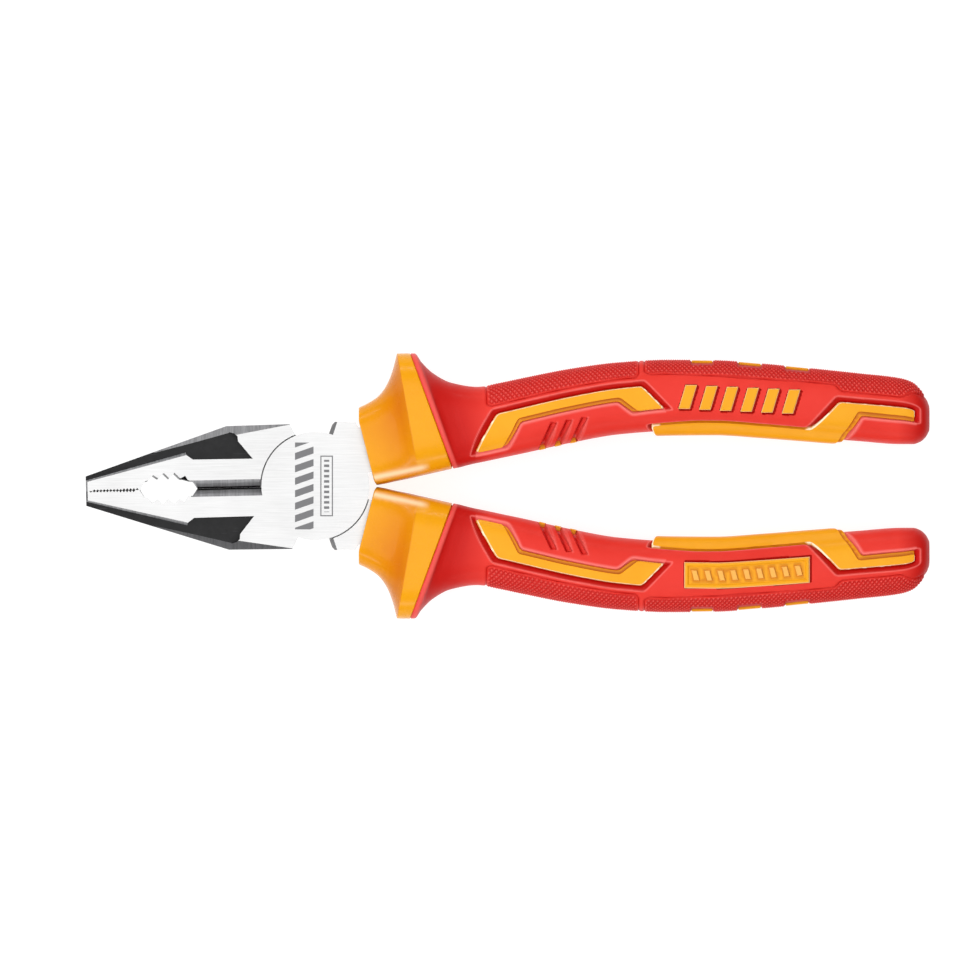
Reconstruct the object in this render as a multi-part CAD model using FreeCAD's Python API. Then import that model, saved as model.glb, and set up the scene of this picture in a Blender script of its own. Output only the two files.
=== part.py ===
"""Insulated combination (lineman) pliers, 200 mm long, lying flat and closed.

Units are millimetres. +X runs from the pivot to the handle ends, +Y is across the handles, +Z is up.
The origin is on the pivot axis, in the ground face on the underside of the head.
Everything is modelled about the lap plane, half way up the head, and lifted to the origin's height
on export. "Front" is the +Z side and "back" is the -Z side; the upper handle is the one at +Y.
"""

import FreeCAD, Part

import math
import os

Vector = FreeCAD.Vector

# --- Head and joint -------------------------------------------------------------------------------
HEAD_THICKNESS = 11.0
HALF = HEAD_THICKNESS / 2
HEAD_TILT = 1.3  # the closing line of the jaws, in degrees from the mid line of the handles
JOINT_RADIUS = 12.8
JOINT_GAP = 0.3  # round each half's disc
LAP_GAP = 0.03  # each side of the lap plane
CLOSING_GAP = 0.005  # each side of the closing line

NOSE_X = -54.4
NOSE_HALF_WIDTH = 3.5
HEAD_CORNER = (-20.8, 14.65)
SHOULDER_TOP = (-5.8, 14.8)
SHOULDER_FOOT = (-4.5, 12.2)

TOOTH_PITCH = 0.78
TEETH_START_X = -53.2
FINE_TEETH, FINE_DEPTH = 9, 0.36
COARSE_TEETH, COARSE_DEPTH = 5, 0.5
TEETH_LEAN = (0.075, 0.0)  # of the teeth's grooves, in plan, for each millimetre of height

PIPE_LEFT_X, PIPE_RIGHT_X = -41.6, -28.0
PIPE_PITCH = 2.55
PIPE_FIRST_VALLEY_X = -38.6
PIPE_VALLEYS = (3.3, 3.75, 3.75, 3.2)
PIPE_CREST = 2.45
PIPE_LEAN = (0.03, 0.03)
BLIND_NOTCH = [(-32.0, 2.5), (-31.6, 1.6), (-29.9, 1.6), (-30.8, 3.1)]
BLIND_NOTCH_DEPTH = 2.5

CUTTER_HALF_WIDTH = 1.95
CUTTER_START_X = -29.5
CUTTER_LAND = 0.12  # half height of the cutting edge
CUTTER_EDGE = (0.3, 1.5)  # width and height of the steep bevel beside the cutting edge

RIVET_RADIUS = 3.0
RIVET_HEAD_RADIUS = 4.5
RIVET_HEAD_DEPTH = 1.8
RIVET_CLEARANCE = 0.05

RECESS_DEPTH = 0.6  # of the dark forged flank, beside the ground face
RECESS_SLOPE = 8.0
RECESS_WALL_SLOPE = 60.0
RECESS_CORNER, RECESS_SHOULDER, RECESS_TAIL = (-54, 2.2), (-30.4, 8.0), (-14.7, 6.8)
FRONT_FACET = [(-38, 8.7), (-20.2, 12.9)]  # inner edges of the two facets
REAR_FACET = [(-20.5, 12.2), (-6.0, 14.6)]
FACET_SLOPE = 48.0
FACET_DROP = 1.4  # of the front facet's inner edge below the ground face
NOSE_CHAMFER = 0.4

# --- Tang, the steel bar inside each handle ----------------------------------------------------------
TANG_HALF = 3.2
TANG_SLOPE_START_X = 12.6
TANG_SLOPE_END_X = 17.6
TANG_SLOPE_SKEW = 13.0
TANG_SHOULDER = [(3.2, 12.4), (3.95, 14.5), (4.6, 15.2), (9.5, 15.1)]
SHOULDER_EDGE = [(4.2, 12.2), (5.1, 15.0)]  # of the tang's front face
SHOULDER_DRAFT = 79.0
TANG_OUTER = [
    (10.2, 13.9), (16, 14.0), (25, 15.6), (40, 18.9), (60, 23.0), (83, 25.1), (106, 24.4), (121, 22.9),
]
TANG_INNER = [
    (121, 16.1), (106, 17.4), (83, 17.9), (60, 15.2), (40, 10.6), (25, 6.4), (16, 4.0), (12.3, 3.1),
]
TANG_ROOT = [(6.0, 3.1), (0.5, 3.1), (0.5, 11.0)]  # inside the disc

# --- Handle: stations of (outer edge point), (belly edge point), half thickness ----------------------
SQUARENESS = 3.0  # superellipse exponent of the handle's section
COLLAR = [
    ((9.2, 18.0), (13.0, 0.25), 7.7),
    ((12.2, 19.5), (16.0, 0.42), 7.8),
    ((15.0, 21.4), (18.6, 0.95), 8.1),
    ((17.0, 24.2), (20.8, 1.45), 8.6),
    ((18.3, 27.5), (22.7, 1.85), 9.4),
    ((19.3, 31.1), (24.4, 2.25), 10.6),
]
PARTING = ((22.4, 31.4), (32.6, 4.1), 10.4)
LIP = ((23.6, 31.2), (33.4, 4.25), 10.1)
GRIP = [
    LIP,
    ((25.0, 29.5), (34.2, 4.4), 9.4),
    ((27.9, 26.7), (35.5, 4.75), 8.7),
    ((32.1, 24.5), (37.3, 5.2), 8.2),
    ((38.3, 23.5), (40.0, 5.75), 8.2),
    ((43.5, 24.4), (43.5, 6.5), 8.4),
    ((49.2, 25.6), (49.2, 7.7), 8.6),
    ((60.5, 27.8), (60.5, 10.2), 8.8),
    ((71.9, 29.3), (71.9, 12.2), 8.8),
    ((83.3, 29.9), (83.3, 13.0), 8.7),
    ((94.7, 29.8), (94.7, 13.1), 8.5),
    ((106.0, 29.0), (106.0, 12.4), 8.3),
    ((117.4, 27.9), (117.4, 11.5), 8.1),
    ((128.8, 26.7), (128.8, 10.6), 7.9),
    ((138.8, 25.5), (138.8, 9.9), 7.5),
]
GRIP_END = [
    GRIP[-1],
    ((141.6, 24.6), (141.6, 9.9), 7.1),
    ((143.4, 22.9), (143.4, 10.5), 6.5),
    ((144.7, 20.8), (144.7, 11.7), 5.5),
    ((145.5, 19.0), (145.5, 13.0), 3.8),
]
WALL = 1.9  # thickness of the soft grip over the insulating sleeve
CORE_START = [((15.0, 17.2), (18.0, 2.9), 5.9), ((28.0, 20.0), (32.5, 6.1), 6.1)]
CORE_FIRST, CORE_LAST = 4, 14  # the grip stations between which the sleeve's core follows the grip
COLLAR_FRONT = [
    (10.3, 40.0), (10.3, 15.7), (14.1, 0.8), (14.9, 0.25), (20.0, -3.0), (50, -3.0), (50, 40.0),
]

# --- Inlays and their outlines, on the upper handle ------------------------------------------------------
INLAY_RISE = 0.15
STRIPE_RISE = 1.1  # how far the rear stripe stands out of the belly
CHEVRON = [
    (38.0, 7.4), (42.9, 17.2), (77.3, 23.8), (82.8, 18.2),
    (75.3, 17.3), (71.8, 20.0), (48.6, 15.2), (45.4, 8.9),
]
CHEVRON_FLOOR = 2.0  # height above the lap plane at which the chevrons stop
STRIPE_TOP = [(79.5, 13.9), (90.0, 14.6), (100.0, 14.35), (117.0, 12.9)]
STRIPE_REST = [
    (124.1, 20.0), (142.2, 18.0), (142.2, 15.1), (129.4, 16.5), (124.1, 11.0), (121.6, 7.5), (83.0, 7.5),
]
NAMEPLATE = [(87.4, 18.1), (117.1, 16.8), (117.1, 22.9), (87.4, 24.2)]
BADGE_DEPTH, BADGE_RISE = 0.8, 0.35
BAR_COUNT, BAR_PITCH, BAR_WIDTH, BAR_HEIGHT, BAR_SLANT = 6, 4.9, 2.7, 5.6, 1.7
BAR_START = (86.0, 18.3)
BAR_DROP = 0.045  # the row of bars falls this much per millimetre
SPINE_WINDOWS = [(89.0, 94.2), (100.1, 105.7), (111.3, 117.0)]
SPINE_HALF_HEIGHT, SPINE_FLOOR = 3.6, 27.0
SLASH_COUNT, SLASH_PITCH, SLASH_WIDTH, SLASH_DEPTH = 3, 3.55, 1.6, 0.6
SLASH_FOOT, SLASH_RUN = (53.2, 8.0), (3.1, 7.4)
SLASH_RISE = 0.22  # the feet climb this much per millimetre, with the belly
BELLY_HALF_HEIGHT = 3.6
FAR = 30.0  # beyond the object's own height either way


def flat_wire(points):
    """A closed polygon in the lap plane."""
    corners = [Vector(x, y, 0) for x, y in points]
    return Part.makePolygon(corners + corners[:1])


def prism(points, low=-FAR, high=FAR, lean=(0.0, 0.0)):
    """A polygon in plan, extruded from one height to another. It can lean, about the lap plane."""
    face = Part.Face(flat_wire(points))
    face.translate(Vector(lean[0] * low, lean[1] * low, low))
    rise = high - low
    return face.extrude(Vector(lean[0] * rise, lean[1] * rise, rise))


def disc(radius, low, high):
    return Part.makeCylinder(radius, high - low, Vector(0, 0, low))


def turned(shape, degrees, centre=(0, 0, 0), axis=(0, 0, 1)):
    made = shape.copy()
    made.rotate(Vector(*centre), Vector(*axis), degrees)
    return made


def other_half(shape):
    """The same shape on the other half of the pliers: half a turn about the X axis."""
    return turned(shape, 180, axis=(1, 0, 0))


def across(shape):
    """The mirror image over the mid line of the handles."""
    return shape.mirror(Vector(0, 0, 0), Vector(0, 1, 0))


def front_and_back(shape):
    """A cutting tool and its mirror image over the lap plane."""
    return [shape, shape.mirror(Vector(0, 0, 0), Vector(0, 0, 1))]


def above_slope(points, line_start, line_end, height, slope):
    """The part of a polygon's prism above a plane through a line. The plane falls to the line's left."""
    tool = prism(points)
    dx, dy = line_end[0] - line_start[0], line_end[1] - line_start[1]
    wedge = Part.makeBox(4 * FAR, 4 * FAR, 2 * FAR, Vector(-2 * FAR, -2 * FAR, 0))
    wedge.rotate(Vector(0, 0, 0), Vector(1, 0, 0), -slope)
    wedge.rotate(Vector(0, 0, 0), Vector(0, 0, 1), math.degrees(math.atan2(dy, dx)))
    wedge.translate(Vector(line_start[0], line_start[1], height))
    return tool.common(wedge)


# --- Steel halves ----------------------------------------------------------------------------------------


def pipe_grip_outline(valleys):
    """Half of the toothed oval between the jaws, above the closing line, with valleys of given depths."""
    points = [(PIPE_LEFT_X, -1.0), (PIPE_LEFT_X, 0.1), (-40.5, 1.9), (-39.7, 2.1)]
    for k, depth in enumerate(valleys):
        x = PIPE_FIRST_VALLEY_X + k * PIPE_PITCH
        points += [(x, depth), (x + PIPE_PITCH / 2, PIPE_CREST)]
    if len(valleys) == len(PIPE_VALLEYS):
        points.pop()
    return points + [(-29.9, 1.8), (-29.0, 1.8), (PIPE_RIGHT_X, 0.1), (PIPE_RIGHT_X, -1.0)]


def teeth_outline():
    """The row of V teeth along the gripping flat, finer towards the nose."""
    points = [(TEETH_START_X, -1.0)]
    for k in range(FINE_TEETH + COARSE_TEETH):
        x = TEETH_START_X + k * TOOTH_PITCH
        depth = FINE_DEPTH if k < FINE_TEETH else COARSE_DEPTH
        points += [(x, CLOSING_GAP), (x + TOOTH_PITCH / 2, depth + CLOSING_GAP)]
    end = TEETH_START_X + (FINE_TEETH + COARSE_TEETH) * TOOTH_PITCH
    return points + [(end, CLOSING_GAP), (end, -1.0)]


def cutter_groove():
    """The V groove over one side of the cutting edge, up to the joint's disc."""
    profile = [
        (-1.0, CUTTER_LAND), (0.0, CUTTER_LAND), CUTTER_EDGE, (CUTTER_HALF_WIDTH, HALF),
        (CUTTER_HALF_WIDTH, HALF + 1), (-1.0, HALF + 1),
    ]
    corners = [Vector(CUTTER_START_X, y, z) for y, z in profile]
    groove = Part.Face(Part.makePolygon(corners + corners[:1])).extrude(Vector(-CUTTER_START_X, 0, 0))
    return groove.cut(disc(JOINT_RADIUS, -FAR, FAR))


def flank_recess():
    """The dark forged flank: a shallow pocket beside the ground face, behind a sloping wall."""
    outline = [
        (-56, 1.7), RECESS_CORNER, RECESS_SHOULDER, (-28.9, 6.9), RECESS_TAIL, (-18.1, 11.0),
        (-18.2, 12.2), (-19.0, 12.9), (-20.2, 13.2), (-22.0, 17.0), (-56, 7.0),
    ]
    pocket = above_slope(outline, RECESS_CORNER, RECESS_TAIL, HALF - RECESS_DEPTH, RECESS_SLOPE)
    strip = [(-56, 1.7), RECESS_SHOULDER, (-30.6, 8.8), (-56, 2.5)]
    wall = prism(strip).cut(above_slope(strip, RECESS_CORNER, RECESS_SHOULDER, HALF, RECESS_WALL_SLOPE))
    return pocket.cut(wall)


def outer_facets():
    """The two long facets between the flank or ground face and the jaw's outer edge."""
    front_room = FRONT_FACET + [(-19.8, 17), (-40, 17)]
    rear_room = [REAR_FACET[0], (-5, 14.8), (-5, 17), (-24, 17)]
    return [
        above_slope(front_room, *FRONT_FACET, HALF - FACET_DROP, FACET_SLOPE),
        above_slope(rear_room, *REAR_FACET, HALF, FACET_SLOPE),
    ]


def nose_chamfer():
    """The small bevel across the tip."""
    tip = [(NOSE_X - 1, -1), (NOSE_X + 1, -1), (NOSE_X + 1, 5), (NOSE_X - 1, 5)]
    return above_slope(tip, (NOSE_X + NOSE_CHAMFER, -1), (NOSE_X + NOSE_CHAMFER, 5), HALF, 45)


def jaw(last_notch_blind=False):
    """The upper jaw at full thickness, in the head's own frame, with its teeth, grips and flanks."""
    blank = prism([
        (NOSE_X, CLOSING_GAP), (NOSE_X, NOSE_HALF_WIDTH), HEAD_CORNER, SHOULDER_TOP, SHOULDER_FOOT,
        (-2.0, 11.0), (-2.0, CLOSING_GAP),
    ], -HALF, HALF)
    tools = [prism(teeth_outline(), lean=TEETH_LEAN)]
    if last_notch_blind:
        tools.append(prism(pipe_grip_outline(PIPE_VALLEYS[:-1]), lean=PIPE_LEAN))
        tools += front_and_back(prism(BLIND_NOTCH, low=HALF - BLIND_NOTCH_DEPTH))
    else:
        tools.append(prism(pipe_grip_outline(PIPE_VALLEYS), lean=PIPE_LEAN))
    tools += front_and_back(cutter_groove()) + front_and_back(flank_recess())
    for facet in outer_facets():
        tools += front_and_back(facet)
    return blank.cut(tools + front_and_back(nose_chamfer()))


def shoulder_drafts():
    """Cutters that lean the tang's shoulder back from the lap plane to both faces."""
    room = [(2.0, 12.0), (6.0, 12.0), (6.0, 16.0), (2.0, 16.0)]
    return front_and_back(above_slope(room, *SHOULDER_EDGE, HALF, SHOULDER_DRAFT))


def spline_edge(points):
    curve = Part.BSplineCurve()
    curve.interpolate([Vector(x, y, 0) for x, y in points])
    return curve.toShape()


def tang():
    """The upper handle's steel bar, with its shoulder at the joint."""
    outer, inner = spline_edge(TANG_OUTER), spline_edge(TANG_INNER)
    end = Part.LineSegment(Vector(*TANG_OUTER[-1], 0), Vector(*TANG_INNER[0], 0)).toShape()
    root = [TANG_INNER[-1]] + TANG_ROOT + TANG_SHOULDER + [TANG_OUTER[0]]
    corners = [Vector(x, y, 0) for x, y in root]
    rest = Part.makePolygon(corners)
    wire = Part.Wire(Part.__sortEdges__([outer, end, inner] + rest.Edges))
    bar = Part.Face(wire).extrude(Vector(0, 0, HEAD_THICKNESS))
    bar.translate(Vector(0, 0, -HALF))
    side = [
        (-FAR, HALF), (TANG_SLOPE_START_X, HALF), (TANG_SLOPE_END_X, TANG_HALF), (150, TANG_HALF),
        (150, -TANG_HALF), (TANG_SLOPE_END_X, -TANG_HALF), (TANG_SLOPE_START_X, -HALF), (-FAR, -HALF),
    ]
    corners = [Vector(x, -2 * FAR, z) for x, z in side]
    envelope = Part.Face(Part.makePolygon(corners + corners[:1])).extrude(Vector(0, 5 * FAR, 0))
    bar = bar.common(turned(envelope, TANG_SLOPE_SKEW, (TANG_SLOPE_START_X, 8, 0)))
    return bar.cut(shoulder_drafts())


def rivet_profile(clearance):
    """The pivot rivet as a solid of revolution, grown by a clearance."""
    shank, head = RIVET_RADIUS + clearance, RIVET_HEAD_RADIUS + clearance
    end, neck = HALF, HALF - RIVET_HEAD_DEPTH
    outline = [(0, -end), (head, -end), (shank, -neck), (shank, neck), (head, end), (0, end)]
    corners = [Vector(r, 0, z) for r, z in outline]
    face = Part.Face(Part.makePolygon(corners + corners[:1]))
    return face.revolve(Vector(0, 0, 0), Vector(0, 0, 1), 360)


def rear_half():
    """Upper jaw, back disc of the lap joint and lower tang."""
    disc_room = disc(JOINT_RADIUS + JOINT_GAP, -LAP_GAP, HALF + 1)
    upper_jaw = turned(jaw(last_notch_blind=True), HEAD_TILT)
    lower_tang = other_half(tang())
    plate = disc(JOINT_RADIUS, -HALF, -LAP_GAP)
    made = upper_jaw.cut(disc_room).fuse([lower_tang.cut(disc_room), plate])
    return made.cut(rivet_profile(RIVET_CLEARANCE)).removeSplitter()


def front_half():
    """Lower jaw, front disc of the lap joint and upper tang."""
    disc_room = disc(JOINT_RADIUS + JOINT_GAP, -HALF - 1, LAP_GAP)
    lower_jaw = turned(other_half(jaw()), HEAD_TILT)
    plate = disc(JOINT_RADIUS, LAP_GAP, HALF)
    made = lower_jaw.cut(disc_room).fuse([tang().cut(disc_room), plate])
    return made.cut(rivet_profile(0)).removeSplitter()


# --- Handles ---------------------------------------------------------------------------------------------


def section(station, grow=0.0, belly_grow=0.0, points=32):
    """A station's superellipse as a closed curve. It can be grown all round, and more at the belly."""
    (xo, yo), (xi, yi), half_height = station
    outer, inner = Vector(xo, yo, 0), Vector(xi, yi, 0)
    along = (outer - inner).normalize()
    outer += along * grow
    inner -= along * (grow + belly_grow)
    centre, half_width = (outer + inner) * 0.5, (outer - inner).Length / 2
    power = 2 / SQUARENESS
    ring = []
    for k in range(points):
        angle = 2 * math.pi * k / points
        c, s = math.cos(angle), math.sin(angle)
        y = math.copysign(abs(c) ** power, c) * half_width
        z = math.copysign(abs(s) ** power, s) * (half_height + grow)
        ring.append(centre + along * y + Vector(0, 0, z))
    curve = Part.BSplineCurve()
    curve.interpolate(Points=ring, PeriodicFlag=True)
    return Part.Wire(curve.toShape())


def loft(stations, ruled=False, **grown):
    return Part.makeLoft([section(s, **grown) for s in stations], True, ruled)


def grip_body(**grown):
    """The whole of the soft grip's outside, behind the parting plane, as a solid."""
    lip = loft([PARTING, LIP], ruled=True, **grown)
    return lip.fuse([loft(GRIP, **grown), loft(GRIP_END, **grown)]).removeSplitter()


def collar_body():
    """The finger guard in front of the parting plane."""
    cone = loft(COLLAR)
    band = loft([COLLAR[-1], PARTING], ruled=True)
    return cone.fuse(band).common(prism(COLLAR_FRONT))


def core_body():
    """The insulating sleeve's outside under the soft grip."""
    inset = []
    for (xo, yo), (xi, yi), half_height in GRIP[CORE_FIRST:CORE_LAST:2]:
        inset.append(((xo, yo - WALL), (xi, yi + WALL), half_height - WALL))
    (xo, yo), (xi, yi), half_height = GRIP[-1]
    last = ((xo + 2.0, yo - 2 * WALL), (xi + 2.0, yi + 2 * WALL), half_height - 2 * WALL)
    return loft(CORE_START + inset + [last], ruled=True)


def slashes(foot_drop=0.0, length=1.0):
    """Plan outlines of the three slanting grooves, or of their first stretch from the belly."""
    outlines = []
    for k in range(SLASH_COUNT):
        x = SLASH_FOOT[0] + k * SLASH_PITCH
        y = SLASH_FOOT[1] + k * SLASH_PITCH * SLASH_RISE
        run_x, run_y = SLASH_RUN[0] * length, SLASH_RUN[1] * length
        low_x, low_y = x - SLASH_RUN[0] * foot_drop, y - SLASH_RUN[1] * foot_drop
        outlines.append([
            (low_x, low_y), (low_x + SLASH_WIDTH, low_y),
            (x + run_x + SLASH_WIDTH, y + run_y), (x + run_x, y + run_y),
        ])
    return outlines


def badge_bars():
    """Plan outlines of the row of plain slanting bars."""
    outlines = []
    for k in range(BAR_COUNT):
        x = BAR_START[0] + k * BAR_PITCH
        y = BAR_START[1] - k * BAR_PITCH * BAR_DROP
        outlines.append([(x, y), (x + BAR_WIDTH, y), (x + BAR_WIDTH + BAR_SLANT, y + BAR_HEIGHT),
                         (x + BAR_SLANT, y + BAR_HEIGHT)])
    return outlines


def solids_of(shape, keep):
    """The shape's solids that pass a test, as one compound."""
    return Part.makeCompound([s for s in shape.Solids if keep(s.CenterOfMass)])


def by_side(shape):
    """A shape's solids on the front face and on the back face."""
    return solids_of(shape, lambda c: c.z > 0), solids_of(shape, lambda c: c.z < 0)


def handle():
    """The upper handle's pieces by name, with the grip still whole under its badge."""
    outside, core, steel = grip_body(), core_body(), tang()
    sleeve = collar_body().fuse(core).cut(steel).removeSplitter()

    raised = grip_body(grow=INLAY_RISE)
    proud = grip_body(grow=INLAY_RISE, belly_grow=STRIPE_RISE)
    grooved = grip_body(grow=-SLASH_DEPTH)

    chevron_tool = Part.makeCompound(front_and_back(prism(CHEVRON, CHEVRON_FLOOR, FAR)))
    stripe_tool = prism(STRIPE_TOP + STRIPE_REST)
    slash_tool = Part.makeCompound([prism(outline) for outline in slashes(foot_drop=0.3)])
    spine_tool = Part.makeCompound([
        prism([(start, SPINE_FLOOR), (end, SPINE_FLOOR), (end, FAR + 10), (start, FAR + 10)],
              -SPINE_HALF_HEIGHT, SPINE_HALF_HEIGHT)
        for start, end in SPINE_WINDOWS
    ])
    belly_tool = Part.makeCompound([
        prism(outline, -BELLY_HALF_HEIGHT, BELLY_HALF_HEIGHT)
        for outline in slashes(foot_drop=0.5, length=0.22)
    ])

    chevrons = by_side(raised.common(chevron_tool).cut(core))
    stripe = proud.common(stripe_tool).cut(core)
    spine = outside.common(spine_tool).cut(core)
    belly = outside.common(belly_tool).cut(core)

    grip = outside.cut(core)
    grip = grip.cut(slash_tool.cut(grooved))
    for tool in (chevron_tool, stripe_tool, spine_tool, belly_tool):
        grip = grip.cut(tool)

    return {
        "insulating_sleeve": sleeve,
        "outer_grip": grip,
        "chevron_inlay_front": chevrons[0],
        "chevron_inlay_back": chevrons[1],
        "rear_stripe_inlay": stripe,
        "spine_inlays": spine,
        "belly_inlays": belly,
    }


def badged(pieces, outlines):
    """The handle's pieces with a badge let into the front and back of the grip."""
    room = Part.makeCompound([prism(outline) for outline in outlines]).cut(grip_body(grow=-BADGE_DEPTH))
    front, back = by_side(grip_body(grow=BADGE_RISE).common(room))
    return dict(pieces, outer_grip=pieces["outer_grip"].cut(room), badge_front=front, badge_back=back)


def all_nodes():
    nodes = {
        "front_half_forging": front_half(),
        "rear_half_forging": rear_half(),
        "pivot_rivet": rivet_profile(0),
    }
    pieces = handle()
    for name, shape in badged(pieces, badge_bars()).items():
        nodes["upper_" + name] = shape
    for name, shape in badged(pieces, [NAMEPLATE]).items():
        nodes["lower_" + name] = across(shape)
    return nodes


os.makedirs("parts", exist_ok=True)
for node_name, node_shape in all_nodes().items():
    node_shape.translate(Vector(0, 0, HALF))
    node_shape.exportStep("parts/" + node_name + ".step")
    print(node_name, len(node_shape.Solids), "solids", round(node_shape.Volume, 1), node_shape.isValid())
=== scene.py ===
"""Insulated combination pliers, closed and lying flat, seen from straight above.

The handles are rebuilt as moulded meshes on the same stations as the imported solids, with their pockets,
knurled pads, inlays and badges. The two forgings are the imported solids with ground, bevelled edges.
Lengths in this file are millimetres in the row's frame, measured from the lap plane in height,
and become metres in new_piece().
"""

import math
from functools import partial

import bmesh
import bpy
import numpy as np
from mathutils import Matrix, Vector
from mathutils.geometry import delaunay_2d_cdt


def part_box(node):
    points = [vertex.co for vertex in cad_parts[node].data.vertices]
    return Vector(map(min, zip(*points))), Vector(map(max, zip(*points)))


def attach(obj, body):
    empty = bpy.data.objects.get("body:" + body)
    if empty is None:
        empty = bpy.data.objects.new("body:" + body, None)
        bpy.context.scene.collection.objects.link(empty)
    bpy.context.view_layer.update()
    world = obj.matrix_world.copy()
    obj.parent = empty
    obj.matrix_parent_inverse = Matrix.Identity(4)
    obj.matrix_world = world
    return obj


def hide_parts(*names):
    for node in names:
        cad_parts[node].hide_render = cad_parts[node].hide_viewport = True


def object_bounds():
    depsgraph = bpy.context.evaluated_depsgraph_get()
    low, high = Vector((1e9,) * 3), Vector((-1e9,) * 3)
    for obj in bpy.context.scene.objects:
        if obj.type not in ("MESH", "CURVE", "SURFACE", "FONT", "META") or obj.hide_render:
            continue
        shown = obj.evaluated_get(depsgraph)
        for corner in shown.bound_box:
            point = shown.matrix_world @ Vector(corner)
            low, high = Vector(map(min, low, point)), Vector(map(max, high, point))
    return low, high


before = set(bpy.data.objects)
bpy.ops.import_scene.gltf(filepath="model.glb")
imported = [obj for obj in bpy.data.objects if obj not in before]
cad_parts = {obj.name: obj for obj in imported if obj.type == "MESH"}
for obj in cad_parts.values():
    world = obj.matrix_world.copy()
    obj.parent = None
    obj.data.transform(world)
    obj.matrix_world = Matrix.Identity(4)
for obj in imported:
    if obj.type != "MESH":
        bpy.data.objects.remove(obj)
cad_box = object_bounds()

MM = 0.001
head_low, head_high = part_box("front_half_forging")
LAP_HEIGHT = (head_low.z + head_high.z) / 2 / MM
HALF_HEAD = (head_high.z - head_low.z) / 2 / MM
HEAD_TILT = math.radians(1.3)

# --- Handle stations: (outer edge point), (belly edge point), half thickness ---
CONE = [
    ((10.3, 18.6), (14.6, 0.2), 7.7),
    ((12.2, 19.5), (16.4, 0.5), 7.75),
    ((15.0, 21.4), (18.8, 1.05), 8.0),
    ((17.0, 24.2), (20.8, 1.45), 8.45),
    ((18.3, 27.5), (22.7, 1.85), 9.3),
    ((19.3, 31.4), (24.4, 2.25), 10.55),
]
BAND = [
    ((19.3, 31.4), (24.4, 2.25), 10.55),
    ((20.8, 31.45), (28.4, 3.15), 10.5),
    ((22.3, 31.45), (32.45, 4.07), 10.35),
]
GRIP = [
    ((22.5, 31.45), (32.7, 4.1), 10.3),
    ((23.6, 31.4), (33.4, 4.25), 10.15),
    ((25.0, 29.5), (34.2, 4.4), 9.35),
    ((27.9, 26.7), (35.5, 4.75), 8.7),
    ((32.1, 24.5), (37.3, 5.2), 8.2),
    ((38.3, 23.5), (40.0, 5.75), 8.2),
    ((43.5, 24.4), (43.5, 6.5), 8.4),
    ((49.2, 25.6), (49.2, 7.7), 8.6),
    ((60.5, 27.8), (60.5, 10.2), 8.8),
    ((71.9, 29.3), (71.9, 12.2), 8.8),
    ((83.3, 29.9), (83.3, 13.0), 8.7),
    ((94.7, 29.8), (94.7, 13.1), 8.5),
    ((106.0, 29.0), (106.0, 12.4), 8.3),
    ((117.4, 27.9), (117.4, 11.5), 8.1),
    ((128.8, 26.7), (128.8, 10.6), 7.9),
    ((138.8, 25.5), (138.8, 9.9), 7.5),
    ((141.6, 24.5), (141.6, 9.9), 7.1),
    ((143.4, 22.8), (143.4, 10.5), 6.5),
    ((144.7, 20.8), (144.7, 11.7), 5.5),
    ((145.4, 19.0), (145.4, 13.0), 3.8),
]
SQUARENESS, SECTION_POINTS = 3.0, 4001
GIRTH = 30.0  # nominal distance round a section from the spine to the belly

# --- Head, in its own frame: the areas that have a finish of their own ---
JOINT_RADIUS = 12.8
TEETH = (-53.6, -41.9)
CUTTER_START, CUTTER_HALF_WIDTH, CUTTER_EDGE_HEIGHT = -29.6, 2.1, 1.4
BLIND_NOTCH = [(-32.0, 2.5), (-31.6, 1.7), (-29.9, 1.7), (-30.8, 3.1)]
FLANK = [
    (-56, 1.9), (-54, 2.1), (-30.4, 7.9), (-28.9, 6.8), (-14.6, 6.7), (-18.0, 11.0),
    (-18.1, 12.2), (-19.0, 12.9), (-20.2, 13.4), (-38, 9.2), (-56, 3.4),
]

# --- Knurl ---
KNURL_LENGTH, KNURL_WIDTH = 1.06, 1.42  # along the handle, round it
STEPS_PER_DIAMOND = 4
KNURL_HEIGHT, KNURL_MIDDLE = 0.36, 0.75  # of a diamond; the section's own level
KNURL_REACH = 28  # columns of knurl spacing on each side of the spine
BELLY_COLUMNS = 80
PLAIN_ROWS = (0.25, 40.3, 0.33)  # first past the lip, end, spacing
PAD_GROOVE = 0.32
PAD_GROOVE_DEPTH = 0.3
PADS = [
    [(40.6, 19.3), (41.6, 18.9), (76.0, 25.7), (76.6, 26.6)],
    [(77.9, 27.1), (79.0, 26.5), (100.0, 25.7), (122.9, 24.2), (124.6, 22.4), (138.8, 21.0),
     (144.5, 20.4)],
]
SPINE_WINDOWS = [(89.0, 94.2), (100.1, 105.7), (111.3, 117.0)]
WINDOW_HALF_GIRTH, WINDOW_DEPTH = 6.3, 0.45
SPINE_BAR_HALF_GIRTH = 1.7

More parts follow.
